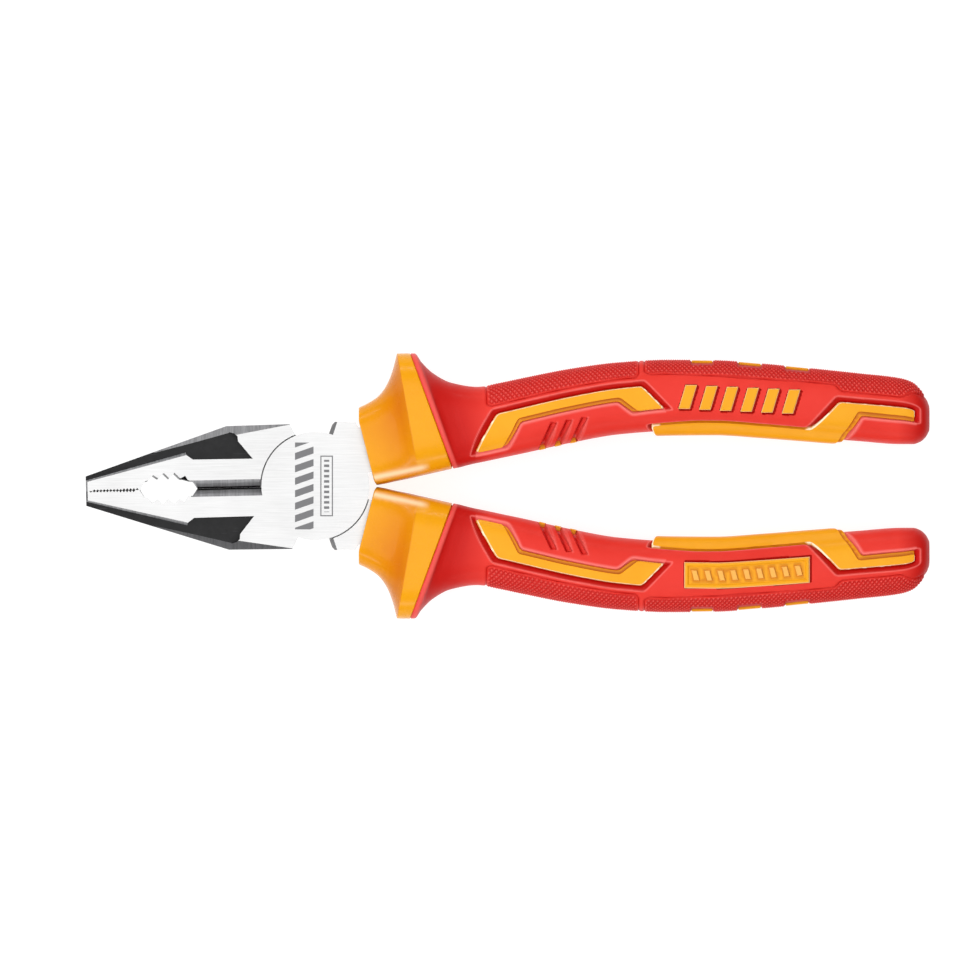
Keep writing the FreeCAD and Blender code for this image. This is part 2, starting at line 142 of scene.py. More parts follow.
# --- Pockets and inlays, on the upper handle's front ---
CHEVRON = [(38.0, 7.4), (42.9, 17.2), (77.3, 23.8), (82.8, 18.2), (75.3, 17.3), (71.8, 20.0),
           (48.6, 15.2), (45.4, 8.9)]
CHEVRON_MOUTH = [1.6, 1.3, 1.4, 0.35, 0.35, 0.35, 0.35, 0.35]
CHEVRON_LEDGE = [0, 0, 0, 0, 0.85, 0.85, 0.85, 0]
CHEVRON_CHAMFER = [0.5, 0.35, 0.35, 0.15, 0.15, 0.15, 0.15, 0.15]
STRIPE_FACE = [(79.5, 13.9), (90.0, 14.6), (100.0, 14.35), (117.0, 12.9), (124.1, 20.0), (142.2, 18.0),
               (142.2, 15.1), (129.4, 16.5), (124.1, 11.0)]
STRIPE_BELLY = [(81.3, 0.0), (122.4, 0.0)]
STRIPE_MOUTH = [0.8, 1.3, 1.3, 1.3, 1.4, 1.4, 1.2, 0.35, 0.35, 0.35]
STRIPE_LEDGE = [0, 0, 0, 0, 0, 0, 0, 1.1, 1.1, 1.1]
STRIPE_CHAMFER = [0.3, 0.25, 0.25, 0.25, 0.42, 0.3, 0.2, 0.15, 0.15, 0.15]
POCKET_DEPTH = 1.5
MAIN_LEVEL, LEDGE_LEVEL = -0.55, -0.95
STRIPE_RISE = 1.1
BELLY_FLANK = (7.0, 3.5)  # girth from the belly where the stripe starts to rise, and the width of its rise
STRIPE_SHADED, STRIPE_SHADE = (81.5, 116), 0.7  # along t, where the stripe's chamfer gets painted shade, not a painted highlight
SLASH_COUNT, SLASH_PITCH, SLASH_CLIMB, SLASH_WIDTH = 3, 3.65, 0.6, 1.6
SLASH_START, SLASH_RUN = (52.55, 7.9), (3.2, 7.15)  # foot of the first groove's left edge, and its run
SLASH_FOOT_WALLS, SLASH_HEAD_WALLS, SLASH_END_WALL = (0.55, 0.3), (0.35, 0.45), 0.45
SLASH_DEPTH = 1.0
SNAP_REACH = 0.17
CORNER_RADIUS, CORNER_SHARE = 0.7, 0.3  # the share is of the shorter edge, where that leaves less room

RISER = 0.16  # width of the step from an inlay's ledge up to its main band
EDGE_DROP = 0.2
HIGHLIGHT_SHARE = 0.75  # of a chamfer's width, from its outer edge, that carries the painted highlight

BADGE_RISE, BADGE_POCKET = 0.45, 0.7
BADGE_DROP = {"upper": 0.2, "lower": 0.3}
BADGE_SHADOW = (0.3, 0.3)  # how far a badge's pocket runs on past it, along the handle and to the belly, where it is painted as shadow
NAMEPLATE = [(87.4, 18.1), (117.1, 16.8), (117.1, 22.9), (87.4, 24.2)]
BADGE_RIMS = {"upper": [0.2], "lower": [0.3, 0.75, 1.1]}  # contours inside a badge's outline
RIB_COUNT, RIB_WIDTH, RIB_BEVEL, FIELD_DEPTH = 9, 1.5, 0.2, 0.4
RIB_LEAN, RIB_ENDS = 0.35, (0.18, 0.82)  # the ends are shares of the field's height
BAR_COUNT, BAR_PITCH, BAR_WIDTH, BAR_HEIGHT, BAR_SLANT = 6, 4.9, 2.7, 5.6, 1.7
BAR_START, BAR_DROP = (86.0, 18.3), 0.045
SPINE_BAR_RISE, SPINE_BAR_FLOOR, SPINE_BAR_GAP = -0.1, -1.7, 0.1
SLIVER_RISE, SLIVER_FLOOR, SLIVER_HALF, SLIVER_SHIFT = 0.12, -1.4, 2.2, 0.3
SMALL_RIM, SMALL_DROP = 0.2, 0.25

# --- Guard, collar and ends of the grip ---
COLLAR_COLUMNS, CONE_ROWS, BAND_ROWS = (0.45, 20, 50), 44, 18
GUARD_RIM_Y, GUARD_RIM_X = [0.1, 0.8, 15.7, 18.6], [14.6, 14.1, 10.3, 10.3]
GUARD_RIM_FADE = 5  # length along t in which the cone runs out of the rim's shape
GUARD_FACE_INSETS, GUARD_FACE_CROWN = (4.5, 2.0, 0.6, 0.25, 0.1), 0.16
COLLAR_STEPS = ((0.06, 0.1), (0.3, 0.16), (0.8, 0.5), (1.8, 0.8), (4.0, 0.9))  # inwards, then along
BELLY_LINE = ((14.5, 0.26), (32.3, 4.0))
LIP_INSETS, LIP_SLANT = (4.0, 1.5, 0.5, 0.12), np.array([-0.1, -0.04, 0])
BUTT_INSETS, END_GAP = (0.35, 0.9, 1.8), 0.12

# --- Painted light stored on the meshes: painted shade darkens the colour, painted highlights lighten it ---
FILLET_AT, FILLET_SHADE = [28.5, 29.2, 35.0, 41.0], [0.0, 0.9, 0.8, 0.0]  # painted shade on the fillet, along t, behind the grip's lip
# Painted highlight on the grip's lip, along t
LIP_AT, LIP_HIGHLIGHT = [27.7, 27.9, 28.7, 29.2], [0.0, 0.35, 0.35, 0.0]
# Painted shade, darker towards the butt end, along t
BUTT_AT, BUTT_SHADE = [138.0, 143.5], [0.0, 0.9]
# Painted highlight along the collar's belly: strength, distance in from the belly line, width, and where it
# ends along x
BELLY_SHEEN, SHEEN_MIDDLE, SHEEN_WIDTH, SHEEN_END = 0.7, 1.75, 0.65, 27.2
# Painted shade on the guard's cone, darker towards its ridge, along t
CONE_AT, CONE_SHADE = [12.5, 16.0, 20.6, 21.85], [0.2, 0.5, 1.0, 0.8]
HOLLOW_AT, HOLLOW_SHADE = [0, 4, 12, 27], [0.3, 0.7, 1.0, 0.2]  # painted shade on the guard's cone, by girth from the spine
# Painted highlight on the knurl's points, painted shade in the spine windows, painted highlight lines along
# pocket mouths
KNURL_HIGHLIGHT, WINDOW_SHADE, EDGE_HIGHLIGHT = 0.6, 0.6, 0.6
# Pocket walls: widths that set their painted shade and their painted highlight lines
NARROW_WALL, WIDE_WALL, LEAST_WALL_SHADE = 0.6, 0.5, 0.35
EDGE_LINE, NARROW_LINE = 0.3, 0.7  # widths of the painted highlight lines along wide and narrow pocket walls
# Painted shade on the grooves' left walls, painted highlight along their right edges
SLASH_SHADE, SLASH_SHADE_WIDTH, SLASH_HIGHLIGHT, SLASH_LINE = 1.3, 0.9, 0.45, 0.35
SPINE_SHADE, SPINE_SHADE_GIRTH = 0.3, 9  # painted shade: the knurl is darker near the spine
# Painted shade on ledges, at the feet of steps, on plate frames and at rib feet; painted highlight on ribs
LEDGE_SHADE, FOOT_LINE, FRAME_SHADE, RIB_HIGHLIGHT, RIB_FOOT_SHADE, RIB_FOOT_LINE = 0.25, 0.1, 0.8, 0.12, 0.6, 0.08
# Painted highlight on the bevels of badges
RIM_HIGHLIGHT = 0.5
JUST_INSIDE = 0.02
PARTING_NORMAL = np.array([0.937, 0.35, 0.0])


# --- Numbers: smooth curves, sections and distances ---


def smooth_curve(knots, values):
    """A monotone cubic through the values at the knots, as a function of an array."""
    x, y = np.asarray(knots, float), np.asarray(values, float)
    step = np.diff(x)
    slope = np.diff(y) / step
    tangent = np.zeros_like(y)
    same_way = slope[:-1] * slope[1:] > 0
    w1, w2 = 2 * step[1:] + step[:-1], step[1:] + 2 * step[:-1]
    with np.errstate(divide="ignore", invalid="ignore"):
        harmonic = (w1 + w2) / (w1 / slope[:-1] + w2 / slope[1:])
    tangent[1:-1][same_way] = harmonic[same_way]
    tangent[0], tangent[-1] = slope[0], slope[-1]

    def at(t):
        t = np.clip(t, x[0], x[-1])
        k = np.clip(np.searchsorted(x, t) - 1, 0, len(step) - 1)
        s = (t - x[k]) / step[k]
        rise = (2 * s**3 - 3 * s**2 + 1) * y[k] + (3 * s**2 - 2 * s**3) * y[k + 1]
        return rise + step[k] * ((s**3 - 2 * s**2 + s) * tangent[k] + (s**3 - s**2) * tangent[k + 1])

    return at


def unit_section():
    """Tables of distance along half of a unit superellipse, from its outer end to its belly end."""
    angle = np.linspace(0, math.pi, SECTION_POINTS)
    across = np.sign(np.cos(angle)) * np.abs(np.cos(angle)) ** (2 / SQUARENESS)
    height = np.abs(np.sin(angle)) ** (2 / SQUARENESS)
    length = np.concatenate([[0], np.cumsum(np.hypot(np.diff(across), np.diff(height)))])
    return length / length[-1] * GIRTH, across, height


GIRTH_TABLE, ACROSS_TABLE, HEIGHT_TABLE = unit_section()


class Tube:
    """A handle's surface over (t, v): the mean x of a station, and the girth from the spine.

    The girth is positive on the front side.
    """

    reach = 0.15  # half the step over which a normal is measured
    halvings = 50

    def __init__(self, stations):
        outer = np.array([s[0] for s in stations], float)
        belly = np.array([s[1] for s in stations], float)
        knots = (outer[:, 0] + belly[:, 0]) / 2
        self.start, self.end = knots[0], knots[-1]
        columns = (*outer.T, *belly.T, [s[2] for s in stations])
        self.curves = [smooth_curve(knots, values) for values in columns]

    def ends(self, t):
        xo, yo, xi, yi, half = (curve(t) for curve in self.curves)
        return np.stack([xo, yo], -1), np.stack([xi, yi], -1), half

    def base(self, t, v):
        t, v = np.broadcast_arrays(np.asarray(t, float), np.asarray(v, float))
        turn = np.mod(v + GIRTH, 2 * GIRTH) - GIRTH
        c = np.interp(np.abs(turn), GIRTH_TABLE, ACROSS_TABLE)[..., None]
        z = np.interp(np.abs(turn), GIRTH_TABLE, HEIGHT_TABLE) * np.where(turn < 0, -1, 1)
        outer, belly, half = self.ends(t)
        plan = (outer + belly) / 2 + (outer - belly) / 2 * c
        return np.concatenate([plan, (z * half)[..., None]], -1)

    def normal(self, t, v):
        ahead, behind = np.minimum(t + self.reach, self.end), np.maximum(t - self.reach, self.start)
        along = self.base(ahead, v) - self.base(behind, v)
        around = self.base(t, v + self.reach) - self.base(t, v - self.reach)
        n = np.cross(around, along)
        return n / np.maximum(np.linalg.norm(n, axis=-1, keepdims=True), 1e-9)

    def point(self, t, v, lift=0.0):
        """The surface point, lifted along the outward normal."""
        return self.base(t, v) + self.normal(t, v) * np.asarray(lift, float)[..., None]

    def unrolled(self, points):
        """Plan points of the front side as (t, v)."""
        points = np.asarray(points, float)
        low, high = np.full(len(points), self.start), np.full(len(points), self.end)
        for _ in range(self.halvings):
            t = (low + high) / 2
            outer, belly, _ = self.ends(t)
            d = outer - belly
            side = d[:, 0] * (points[:, 1] - belly[:, 1]) - d[:, 1] * (points[:, 0] - belly[:, 0])
            low, high = np.where(side < 0, t, low), np.where(side < 0, high, t)
        outer, belly, _ = self.ends(t)
        middle, half = (outer + belly) / 2, (outer - belly) / 2
        c = np.clip(((points - middle) * half).sum(-1) / (half * half).sum(-1), -1, 1)
        return np.stack([t, np.interp(-c, -ACROSS_TABLE, GIRTH_TABLE)], -1)


def distance_to(outline, points):
    """Signed distance from points to a closed outline, negative inside."""
    outline, points = np.asarray(outline, float), np.asarray(points, float)
    flat = points.reshape(-1, 2)
    nearest = np.full(len(flat), 1e9)
    inside = np.zeros(len(flat), bool)
    for a, b in zip(outline, np.roll(outline, -1, axis=0)):
        edge, to_point = b - a, flat - a
        share = np.clip((to_point @ edge) / (edge @ edge), 0, 1)
        nearest = np.minimum(nearest, np.linalg.norm(to_point - share[:, None] * edge, axis=1))
        crosses = (a[1] > flat[:, 1]) != (b[1] > flat[:, 1])
        with np.errstate(divide="ignore", invalid="ignore"):
            left = flat[:, 0] < edge[0] * (flat[:, 1] - a[1]) / edge[1] + a[0]
        inside ^= crosses & left
    return np.where(inside, -nearest, nearest).reshape(points.shape[:-1])


def inset(outline, widths):
    """The outline with each edge moved inwards by its own width (outwards if negative)."""
    outline = np.asarray(outline, float)
    turn = np.sum(outline[:, 0] * np.roll(outline[:, 1], -1) - np.roll(outline[:, 0], -1) * outline[:, 1])
    edges = np.roll(outline, -1, axis=0) - outline
    inward = np.stack([-edges[:, 1], edges[:, 0]], -1) / np.linalg.norm(edges, axis=1, keepdims=True)
    starts = outline + inward * math.copysign(1, turn) * np.asarray(widths, float)[:, None]
    corners = []
    for k in range(len(outline)):
        p, d, q, e = starts[k - 1], edges[k - 1], starts[k], edges[k]
        cross = d[0] * e[1] - d[1] * e[0]
        if abs(cross) < 1e-6 * np.linalg.norm(d) * np.linalg.norm(e):
            corners.append(q)
        else:
            corners.append(p + d * ((q - p)[0] * e[1] - (q - p)[1] * e[0]) / cross)
    return np.array(corners)


def rounded(outline, radius=CORNER_RADIUS, steps=3):
    """The outline with its corners rounded off, less where its edges are short."""
    points = []
    for before, corner, after in zip(np.roll(outline, 1, axis=0), outline, np.roll(outline, -1, axis=0)):
        into, out = before - corner, after - corner
        long_in, long_out = np.linalg.norm(into), np.linalg.norm(out)
        room = min(radius, CORNER_SHARE * long_in, CORNER_SHARE * long_out)
        start, end = corner + into / long_in * room, corner + out / long_out * room
        for share in np.linspace(0, 1, steps + 1):
            points.append((1 - share) ** 2 * start + 2 * share * (1 - share) * corner + share**2 * end)
    return np.array(points)


def snapped(outlines, points, reach, free):
    """The free points within reach of an outline moved onto it, and which points are still free."""
    flat = points.reshape(-1, 2)
    best, target = np.where(free.ravel(), reach, 0), flat.copy()
    for outline in outlines:
        for a, b in zip(outline, np.roll(outline, -1, axis=0)):
            edge = b - a
            share = np.clip(((flat - a) @ edge) / (edge @ edge), 0, 1)
            foot = a + share[:, None] * edge
            away = np.linalg.norm(flat - foot, axis=1)
            nearer = away < best
            best[nearer], target[nearer] = away[nearer], foot[nearer]
    moved = (target != flat).any(1).reshape(free.shape)
    return target.reshape(points.shape), free & ~moved


def ramp(floor, mouth, points):
    """1 inside the floor outline, 0 outside the mouth outline, and a straight slope between the two."""
    from_mouth = np.maximum(-distance_to(mouth, points), 0)
    from_floor = np.maximum(distance_to(floor, points), 0)
    return from_mouth / np.maximum(from_mouth + from_floor, 1e-6)


# --- Meshes ---


def in_scene(name, data):
    """A new object with this data, in the scene."""
    made = bpy.data.objects.new(name, data)
    bpy.context.scene.collection.objects.link(made)
    return made


def smoothed(mesh, sharp_degrees):
    mesh.polygons.foreach_set("use_smooth", [True] * len(mesh.polygons))
    mesh.set_sharp_from_angle(angle=math.radians(sharp_degrees))


def new_piece(name, verts, faces, side, smooth_angle):
    """A mesh object from millimetre points about the lap plane; side -1 mirrors it for the lower handle."""
    verts = np.asarray(verts, float) * (1, side, 1)
    verts = (verts + (0, 0, LAP_HEIGHT)) * MM
    mesh = bpy.data.meshes.new(name)
    mesh.from_pydata(verts.tolist(), [], faces)
    shell = bmesh.new()
    shell.from_mesh(mesh)
    bmesh.ops.recalc_face_normals(shell, faces=shell.faces)
    shell.to_mesh(mesh)
    shell.free()
    smoothed(mesh, smooth_angle)
    return in_scene(name, mesh)


def capped_tube(rings):
    """Points and quads of a tube from an array of rings, with a fan at each end over a centre point."""
    (rows, columns), faces = rings.shape[:2], []
    for r in range(rows - 1):
        for c in range(columns):
            d = (c + 1) % columns
            faces.append((r * columns + c, r * columns + d, (r + 1) * columns + d, (r + 1) * columns + c))
    first, last, base = rows * columns, rows * columns + 1, (rows - 1) * columns
    for c in range(columns):
        d = (c + 1) % columns
        faces.append((first, d, c))
        faces.append((last, base + c, base + d))
    return np.concatenate([rings.reshape(-1, 3), [rings[0].mean(0), rings[-1].mean(0)]]), faces


def shrunk(ring, inwards, along):
    """The ring drawn towards its own centre by a distance, and moved along."""
    centre = ring.mean(0)
    reach = np.linalg.norm(ring - centre, axis=1, keepdims=True)
    return centre + (ring - centre) * (1 - inwards / reach) + along


def girth_columns(first_step, count, rest):
    """Girths of a ring's points: even steps near the spine, then even steps to the belly, on both sides."""
    near = np.arange(count + 1) * first_step
    far = np.linspace(near[-1], GIRTH, rest + 1)[1:]
    front = np.concatenate([near, far])
    return np.concatenate([front, -front[-2:0:-1]])


def subdivided(outline, step):
    """The outline's corners with even points added between them."""
    points = []
    for a, b in zip(outline, np.roll(outline, -1, axis=0)):
        count = max(1, int(math.ceil(np.linalg.norm(b - a) / step)))
        points += [a + (b - a) * k / count for k in range(count)]
    return np.array(points)


def triangulated(contours, step):
    """Triangles of the area inside the first contour, with every contour kept as edges."""
    outline, clearance = contours[0], 0.4 * step
    rings = [subdivided(c, step) for c in contours]
    low, high = outline.min(0), outline.max(0)
    xs = np.arange(low[0] + step / 2, high[0], step)
    ys = np.arange(low[1] + step / 2, high[1], step)
    grid = np.stack(np.meshgrid(xs, ys), -1).reshape(-1, 2)
    clear = distance_to(outline, grid) < -clearance
    for ring in contours[1:]:
        clear &= np.abs(distance_to(ring, grid)) > clearance
    points = np.concatenate(rings + [grid[clear]])
    edges, start = [], 0
    for ring in rings:
        edges += [(start + k, start + (k + 1) % len(ring)) for k in range(len(ring))]
        start += len(ring)
    made = delaunay_2d_cdt([Vector(p) for p in points], edges, [], 0, 1e-5)
    flat = np.array([tuple(p) for p in made[0]])
    triangles = np.array([tuple(f) for f in made[2]])
    centres = flat[triangles].mean(1)
    return flat, triangles[distance_to(outline, centres) < 0]


def closed_plate(flat, triangles, top, bottom):
    """A solid plate: the triangulated area at its top and bottom points, joined round the rim."""
    count = len(flat)
    faces = [tuple(t) for t in triangles] + [tuple(t[::-1] + count) for t in triangles]
    directed = {}
    for t in triangles:
        for a, b in ((t[0], t[1]), (t[1], t[2]), (t[2], t[0])):
            directed[(a, b)] = True
    for a, b in directed:
        if (b, a) not in directed:
            faces.append((b, a, a + count, b + count))
    return np.concatenate([top, bottom]), faces


# --- Handle pieces ---

GRIP_TUBE = Tube(GRIP)
CONE_TUBE, BAND_TUBE = Tube(CONE), Tube(BAND)


def belly_side(points):
    """(t, girth from the spine) as (t, girth from the belly), which runs on over the belly to the back."""
    points = np.asarray(points, float)
    return np.stack([points[:, 0], GIRTH - points[:, 1]], -1)


def both_sides(path):
    """A path on the front side, closed by its mirror image over the middle line."""
    back = path[::-1] * (1, -1)
    return np.concatenate([path, back[np.abs(back[:, 1]) > 1e-9]])


def slash_outlines():
    """Mouth and floor outlines, left and right edges of the slanting grooves; their feet pass the belly."""
    made = []
    for k in range(SLASH_COUNT):
        x, y = SLASH_START[0] + k * SLASH_PITCH, SLASH_START[1] + k * SLASH_CLIMB
        top_x, top_y = x + SLASH_RUN[0], y + SLASH_RUN[1]
        mouth = [(x, y), (x + SLASH_WIDTH, y), (top_x + SLASH_WIDTH, top_y), (top_x, top_y)]
        floor = [(x + SLASH_FOOT_WALLS[0], y), (x + SLASH_WIDTH - SLASH_FOOT_WALLS[1], y),
                 (top_x + SLASH_WIDTH - SLASH_HEAD_WALLS[1], top_y - SLASH_END_WALL),
                 (top_x + SLASH_HEAD_WALLS[0], top_y - SLASH_END_WALL)]
        outlines = [GRIP_TUBE.unrolled(subdivided(np.array(outline), 0.7)) for outline in (mouth, floor)]
        edges = [GRIP_TUBE.unrolled(np.linspace(*ends, 9)) for ends in (mouth[::3], mouth[1:3])]
        made.append(outlines + edges)
    return made


def stripe_outline(widths=None):
    """The rear stripe's outline over (t, girth from the belly), each edge moved in by its own width."""
    start, end = STRIPE_BELLY
    face = belly_side(GRIP_TUBE.unrolled(STRIPE_FACE))
    outline = both_sides(np.concatenate([[start], face, [end]]))
    return outline if widths is None else inset(outline, list(widths) + list(widths)[::-1])


def knurl(t, v):
    """Height of the diamond pattern: 1 on the points, 0 in the grooves."""
    def wave(s):
        return 1 - np.abs(2 * np.mod(s, 1) - 1)
    along, around = t / KNURL_LENGTH, v / KNURL_WIDTH
    return np.minimum(wave(along + around), wave(along - around))


def pocket_outlines():
    """Floor and mouth outlines of the chevron's and the stripe's pockets, each in its own girth."""
    chevron = GRIP_TUBE.unrolled(CHEVRON)
    return (
        (rounded(chevron), rounded(inset(chevron, [-w for w in CHEVRON_MOUTH]))),
        (rounded(stripe_outline()), rounded(stripe_outline([-w for w in STRIPE_MOUTH]))),
    )


def badge_pockets(hand):
    """Each badge outline, and the same moved to the rear and the belly, where its pocket shows beside it."""
    outlines = badge_contours(hand)
    return outlines, [outline + BADGE_SHADOW for outline in outlines]


def from_belly(v):
    """Girth from the belly, positive on the front side, for girths from the spine; and the reverse."""
    return np.where(v < 0, -1, 1) * (GIRTH - np.abs(v))


def on_face(t, v):
    return np.stack([t, np.abs(v)], -1)


def grip_grid(hand):
    """The (t, v) of the grip's vertices: even steps that fit the knurl, moved onto its pockets' edges."""
    past_lip, rows_end, row_gap = PLAIN_ROWS
    lip = np.arange(GRIP_TUBE.start + past_lip, rows_end, row_gap)
    row_step, column_step = KNURL_LENGTH / STEPS_PER_DIAMOND, KNURL_WIDTH / STEPS_PER_DIAMOND
    first_row = math.ceil(lip[-1] / KNURL_LENGTH) * KNURL_LENGTH
    padded = np.arange(first_row, GRIP_TUBE.end, row_step)
    t = np.concatenate([lip, padded, [GRIP_TUBE.end]])[:, None]
    v = girth_columns(column_step, KNURL_REACH, BELLY_COLUMNS)[None, :]
    t, v = np.broadcast_arrays(t, v)
    free = (np.abs(v) > 1e-6) & (np.abs(v) < GIRTH - 1e-6)

    (chevron_floor, chevron_mouth), (stripe_floor, stripe_mouth) = pocket_outlines()
    slashes = [outline for groove in slash_outlines() for outline in groove[:2]]
    back = np.where(v < 0, -1, 1)
    lines = (([chevron_floor], [stripe_floor]), ([chevron_mouth, *slashes], [stripe_mouth]))
    for face_lines, belly_lines in lines:
        face, free = snapped(face_lines, on_face(t, v), SNAP_REACH, free)
        t, v = face[..., 0], face[..., 1] * back
        belly, free = snapped(belly_lines, np.stack([t, from_belly(v)], -1), SNAP_REACH, free)
        t, v = belly[..., 0], from_belly(belly[..., 1])
    face, free = snapped(badge_pockets(hand)[1], on_face(t, v), SNAP_REACH, free)
    return face[..., 0], face[..., 1] * back


def near(outline, points, width):
    """1 on the outline, falling to 0 at a distance from it."""
    return np.clip(1 - np.abs(distance_to(outline, points)) / width, 0, 1)


def grip_relief(hand, t, v):
    """Over (t, v): how far the grip lies above its smooth section, and its painted shade and painted
    highlight.
    """
    face = on_face(t, v)
    belly = np.stack([t, from_belly(v)], -1)
    # Painted highlight on the lip; painted shade on the fillet behind it and towards the butt
    relief, worn = np.zeros(t.shape), np.interp(t, LIP_AT, LIP_HIGHLIGHT)
    deep = np.maximum(np.interp(t, FILLET_AT, FILLET_SHADE), np.interp(t, BUTT_AT, BUTT_SHADE))

    for (floor, mouth), points in zip(pocket_outlines(), (face, belly)):
        pocket = ramp(floor, mouth, points)
        relief -= POCKET_DEPTH * pocket
        # Painted shade on the pocket walls, less on narrow ones; painted highlight lines along their mouths
        wall_width = distance_to(floor, points) - distance_to(mouth, points)
        wall_shade = np.clip((wall_width - 0.35) / WIDE_WALL, LEAST_WALL_SHADE, 1)
        deep = np.maximum(deep, np.clip(6 * pocket, 0, 1) * wall_shade)
        worn = np.maximum(worn, EDGE_HIGHLIGHT * near(mouth, points, EDGE_LINE))
        worn = np.maximum(worn, (wall_width < NARROW_WALL) * near(mouth, points, NARROW_LINE))

    for mouth, floor, left, right in slash_outlines():
        relief -= SLASH_DEPTH * ramp(floor, mouth, face)
        # Painted shade on each groove's left wall, painted highlight along its right edge
        inside = distance_to(mouth, face) < JUST_INSIDE
        shade = np.clip(SLASH_SHADE * near(left, face, SLASH_SHADE_WIDTH), 0.15, 1)
        deep = np.maximum(deep, inside * shade)
        worn = np.maximum(worn, SLASH_HIGHLIGHT * near(right, face, SLASH_LINE))

    for outline, shadow in zip(*badge_pockets(hand)):
        # Painted shadow in each badge's pocket
        pocket = np.minimum(distance_to(outline, face), distance_to(shadow, face)) < JUST_INSIDE
        relief -= BADGE_POCKET * pocket
        deep = np.maximum(deep, 2.0 * pocket)

    windows = [np.abs(t - (a + b) / 2) - (b - a) / 2 for a, b in SPINE_WINDOWS]
    window = np.maximum(np.minimum.reduce(windows), np.abs(v) - WINDOW_HALF_GIRTH)
    for edge in PADS:
        inside = -distance_to(rounded(both_sides(GRIP_TUBE.unrolled(edge))), np.stack([t, v], -1))
        pad = np.clip(inside / PAD_GROOVE - 1, 0, 1)
        groove = np.clip(1 - np.abs(inside / PAD_GROOVE), 0, 1)
        points = knurl(t, v) * np.clip(window / 0.2, 0, 1)
        relief += pad * (points - KNURL_MIDDLE) * KNURL_HEIGHT - groove * PAD_GROOVE_DEPTH
        # Painted shade in the pad groove and the knurl's grooves, darker near the spine; painted highlight on
        # its points
        spine_shade = SPINE_SHADE * np.clip(1 - np.abs(v) / SPINE_SHADE_GIRTH, 0, 1)
        deep = np.maximum(deep, np.maximum(groove, pad * np.clip(1.35 - 1.6 * points + spine_shade, 0, 1)))
        worn = np.maximum(worn, pad * KNURL_HIGHLIGHT * np.clip(2 * points - 0.9 - spine_shade, 0, 1))
    # Painted shade in the spine windows
    in_window = np.clip(-window / 0.25, 0, 1)
    return relief - WINDOW_DEPTH * in_window, np.maximum(deep, WINDOW_SHADE * in_window), worn


def paint(piece, **tones):
    """Stores per-vertex painted shade and painted highlight that the material reads."""
    for name, values in tones.items():
        padded = np.zeros(len(piece.data.vertices))
        padded[:len(values)] = values
        piece.data.attributes.new(name, "FLOAT", "POINT").data.foreach_set("value", padded)


def grip_piece(hand, side):
    """The soft grip, with its knurled pads, pockets and grooves."""
    t, v = grip_grid(hand)
    relief, deep, worn = grip_relief(hand, t, v)
    rings = GRIP_TUBE.point(t, v, relief)
    front = GRIP_TUBE.base(GRIP_TUBE.start, v[0])
    before = [shrunk(front, s, LIP_SLANT * s) for s in LIP_INSETS]
    after = [shrunk(rings[-1], s, (END_GAP * (1 - math.exp(-2 * s)), 0, 0)) for s in BUTT_INSETS]
    verts, faces = capped_tube(np.concatenate([before, rings, after]))
    faces = split_along(faces, relief, len(before))
    piece = new_piece(f"{hand}_soft_grip", verts, faces, side, smooth_angle=32)
    start = np.zeros(len(before) * t.shape[1])
    # Painted shade over the butt's end rings and centre points
    end = np.ones(len(verts) - len(start) - deep.size)
    deep, worn = np.concatenate([start, deep.ravel(), end]), np.concatenate([start, worn.ravel()])
    paint(piece, deep=deep, worn=worn)
    return piece


def split_along(faces, relief, first_ring):
    """The quads, with those that step between levels cut along the diagonal that is more nearly level."""
    columns, least_step = relief.shape[1], 0.5
    levels = np.concatenate([np.zeros(first_ring * columns), relief.ravel()])
    made = []
    for face in faces:
        if len(face) == 4 and max(face) < len(levels):
            a, b, c, d = (levels[k] for k in face)
            if max(a, b, c, d) - min(a, b, c, d) > least_step:
                p, q, r, w = face
                made += [(p, q, r), (p, r, w)] if abs(a - c) < abs(b - d) else [(q, r, w), (q, w, p)]
                continue
        made.append(face)
    return made


def belly_sheen(points):
    """The painted highlight of a soft pale line that follows the collar's belly, by distance from it in plan.
    """
    start, end = BELLY_LINE
    run, rise = end[0] - start[0], end[1] - start[1]
    across = (points[..., 1] - start[1]) * run - (points[..., 0] - start[0]) * rise
    away = across / math.hypot(run, rise)
    line = BELLY_SHEEN * np.exp(-((away - SHEEN_MIDDLE) / SHEEN_WIDTH) ** 2)
    return (line * np.clip((SHEEN_END - points[..., 0]) / 2, 0, 1)).ravel()


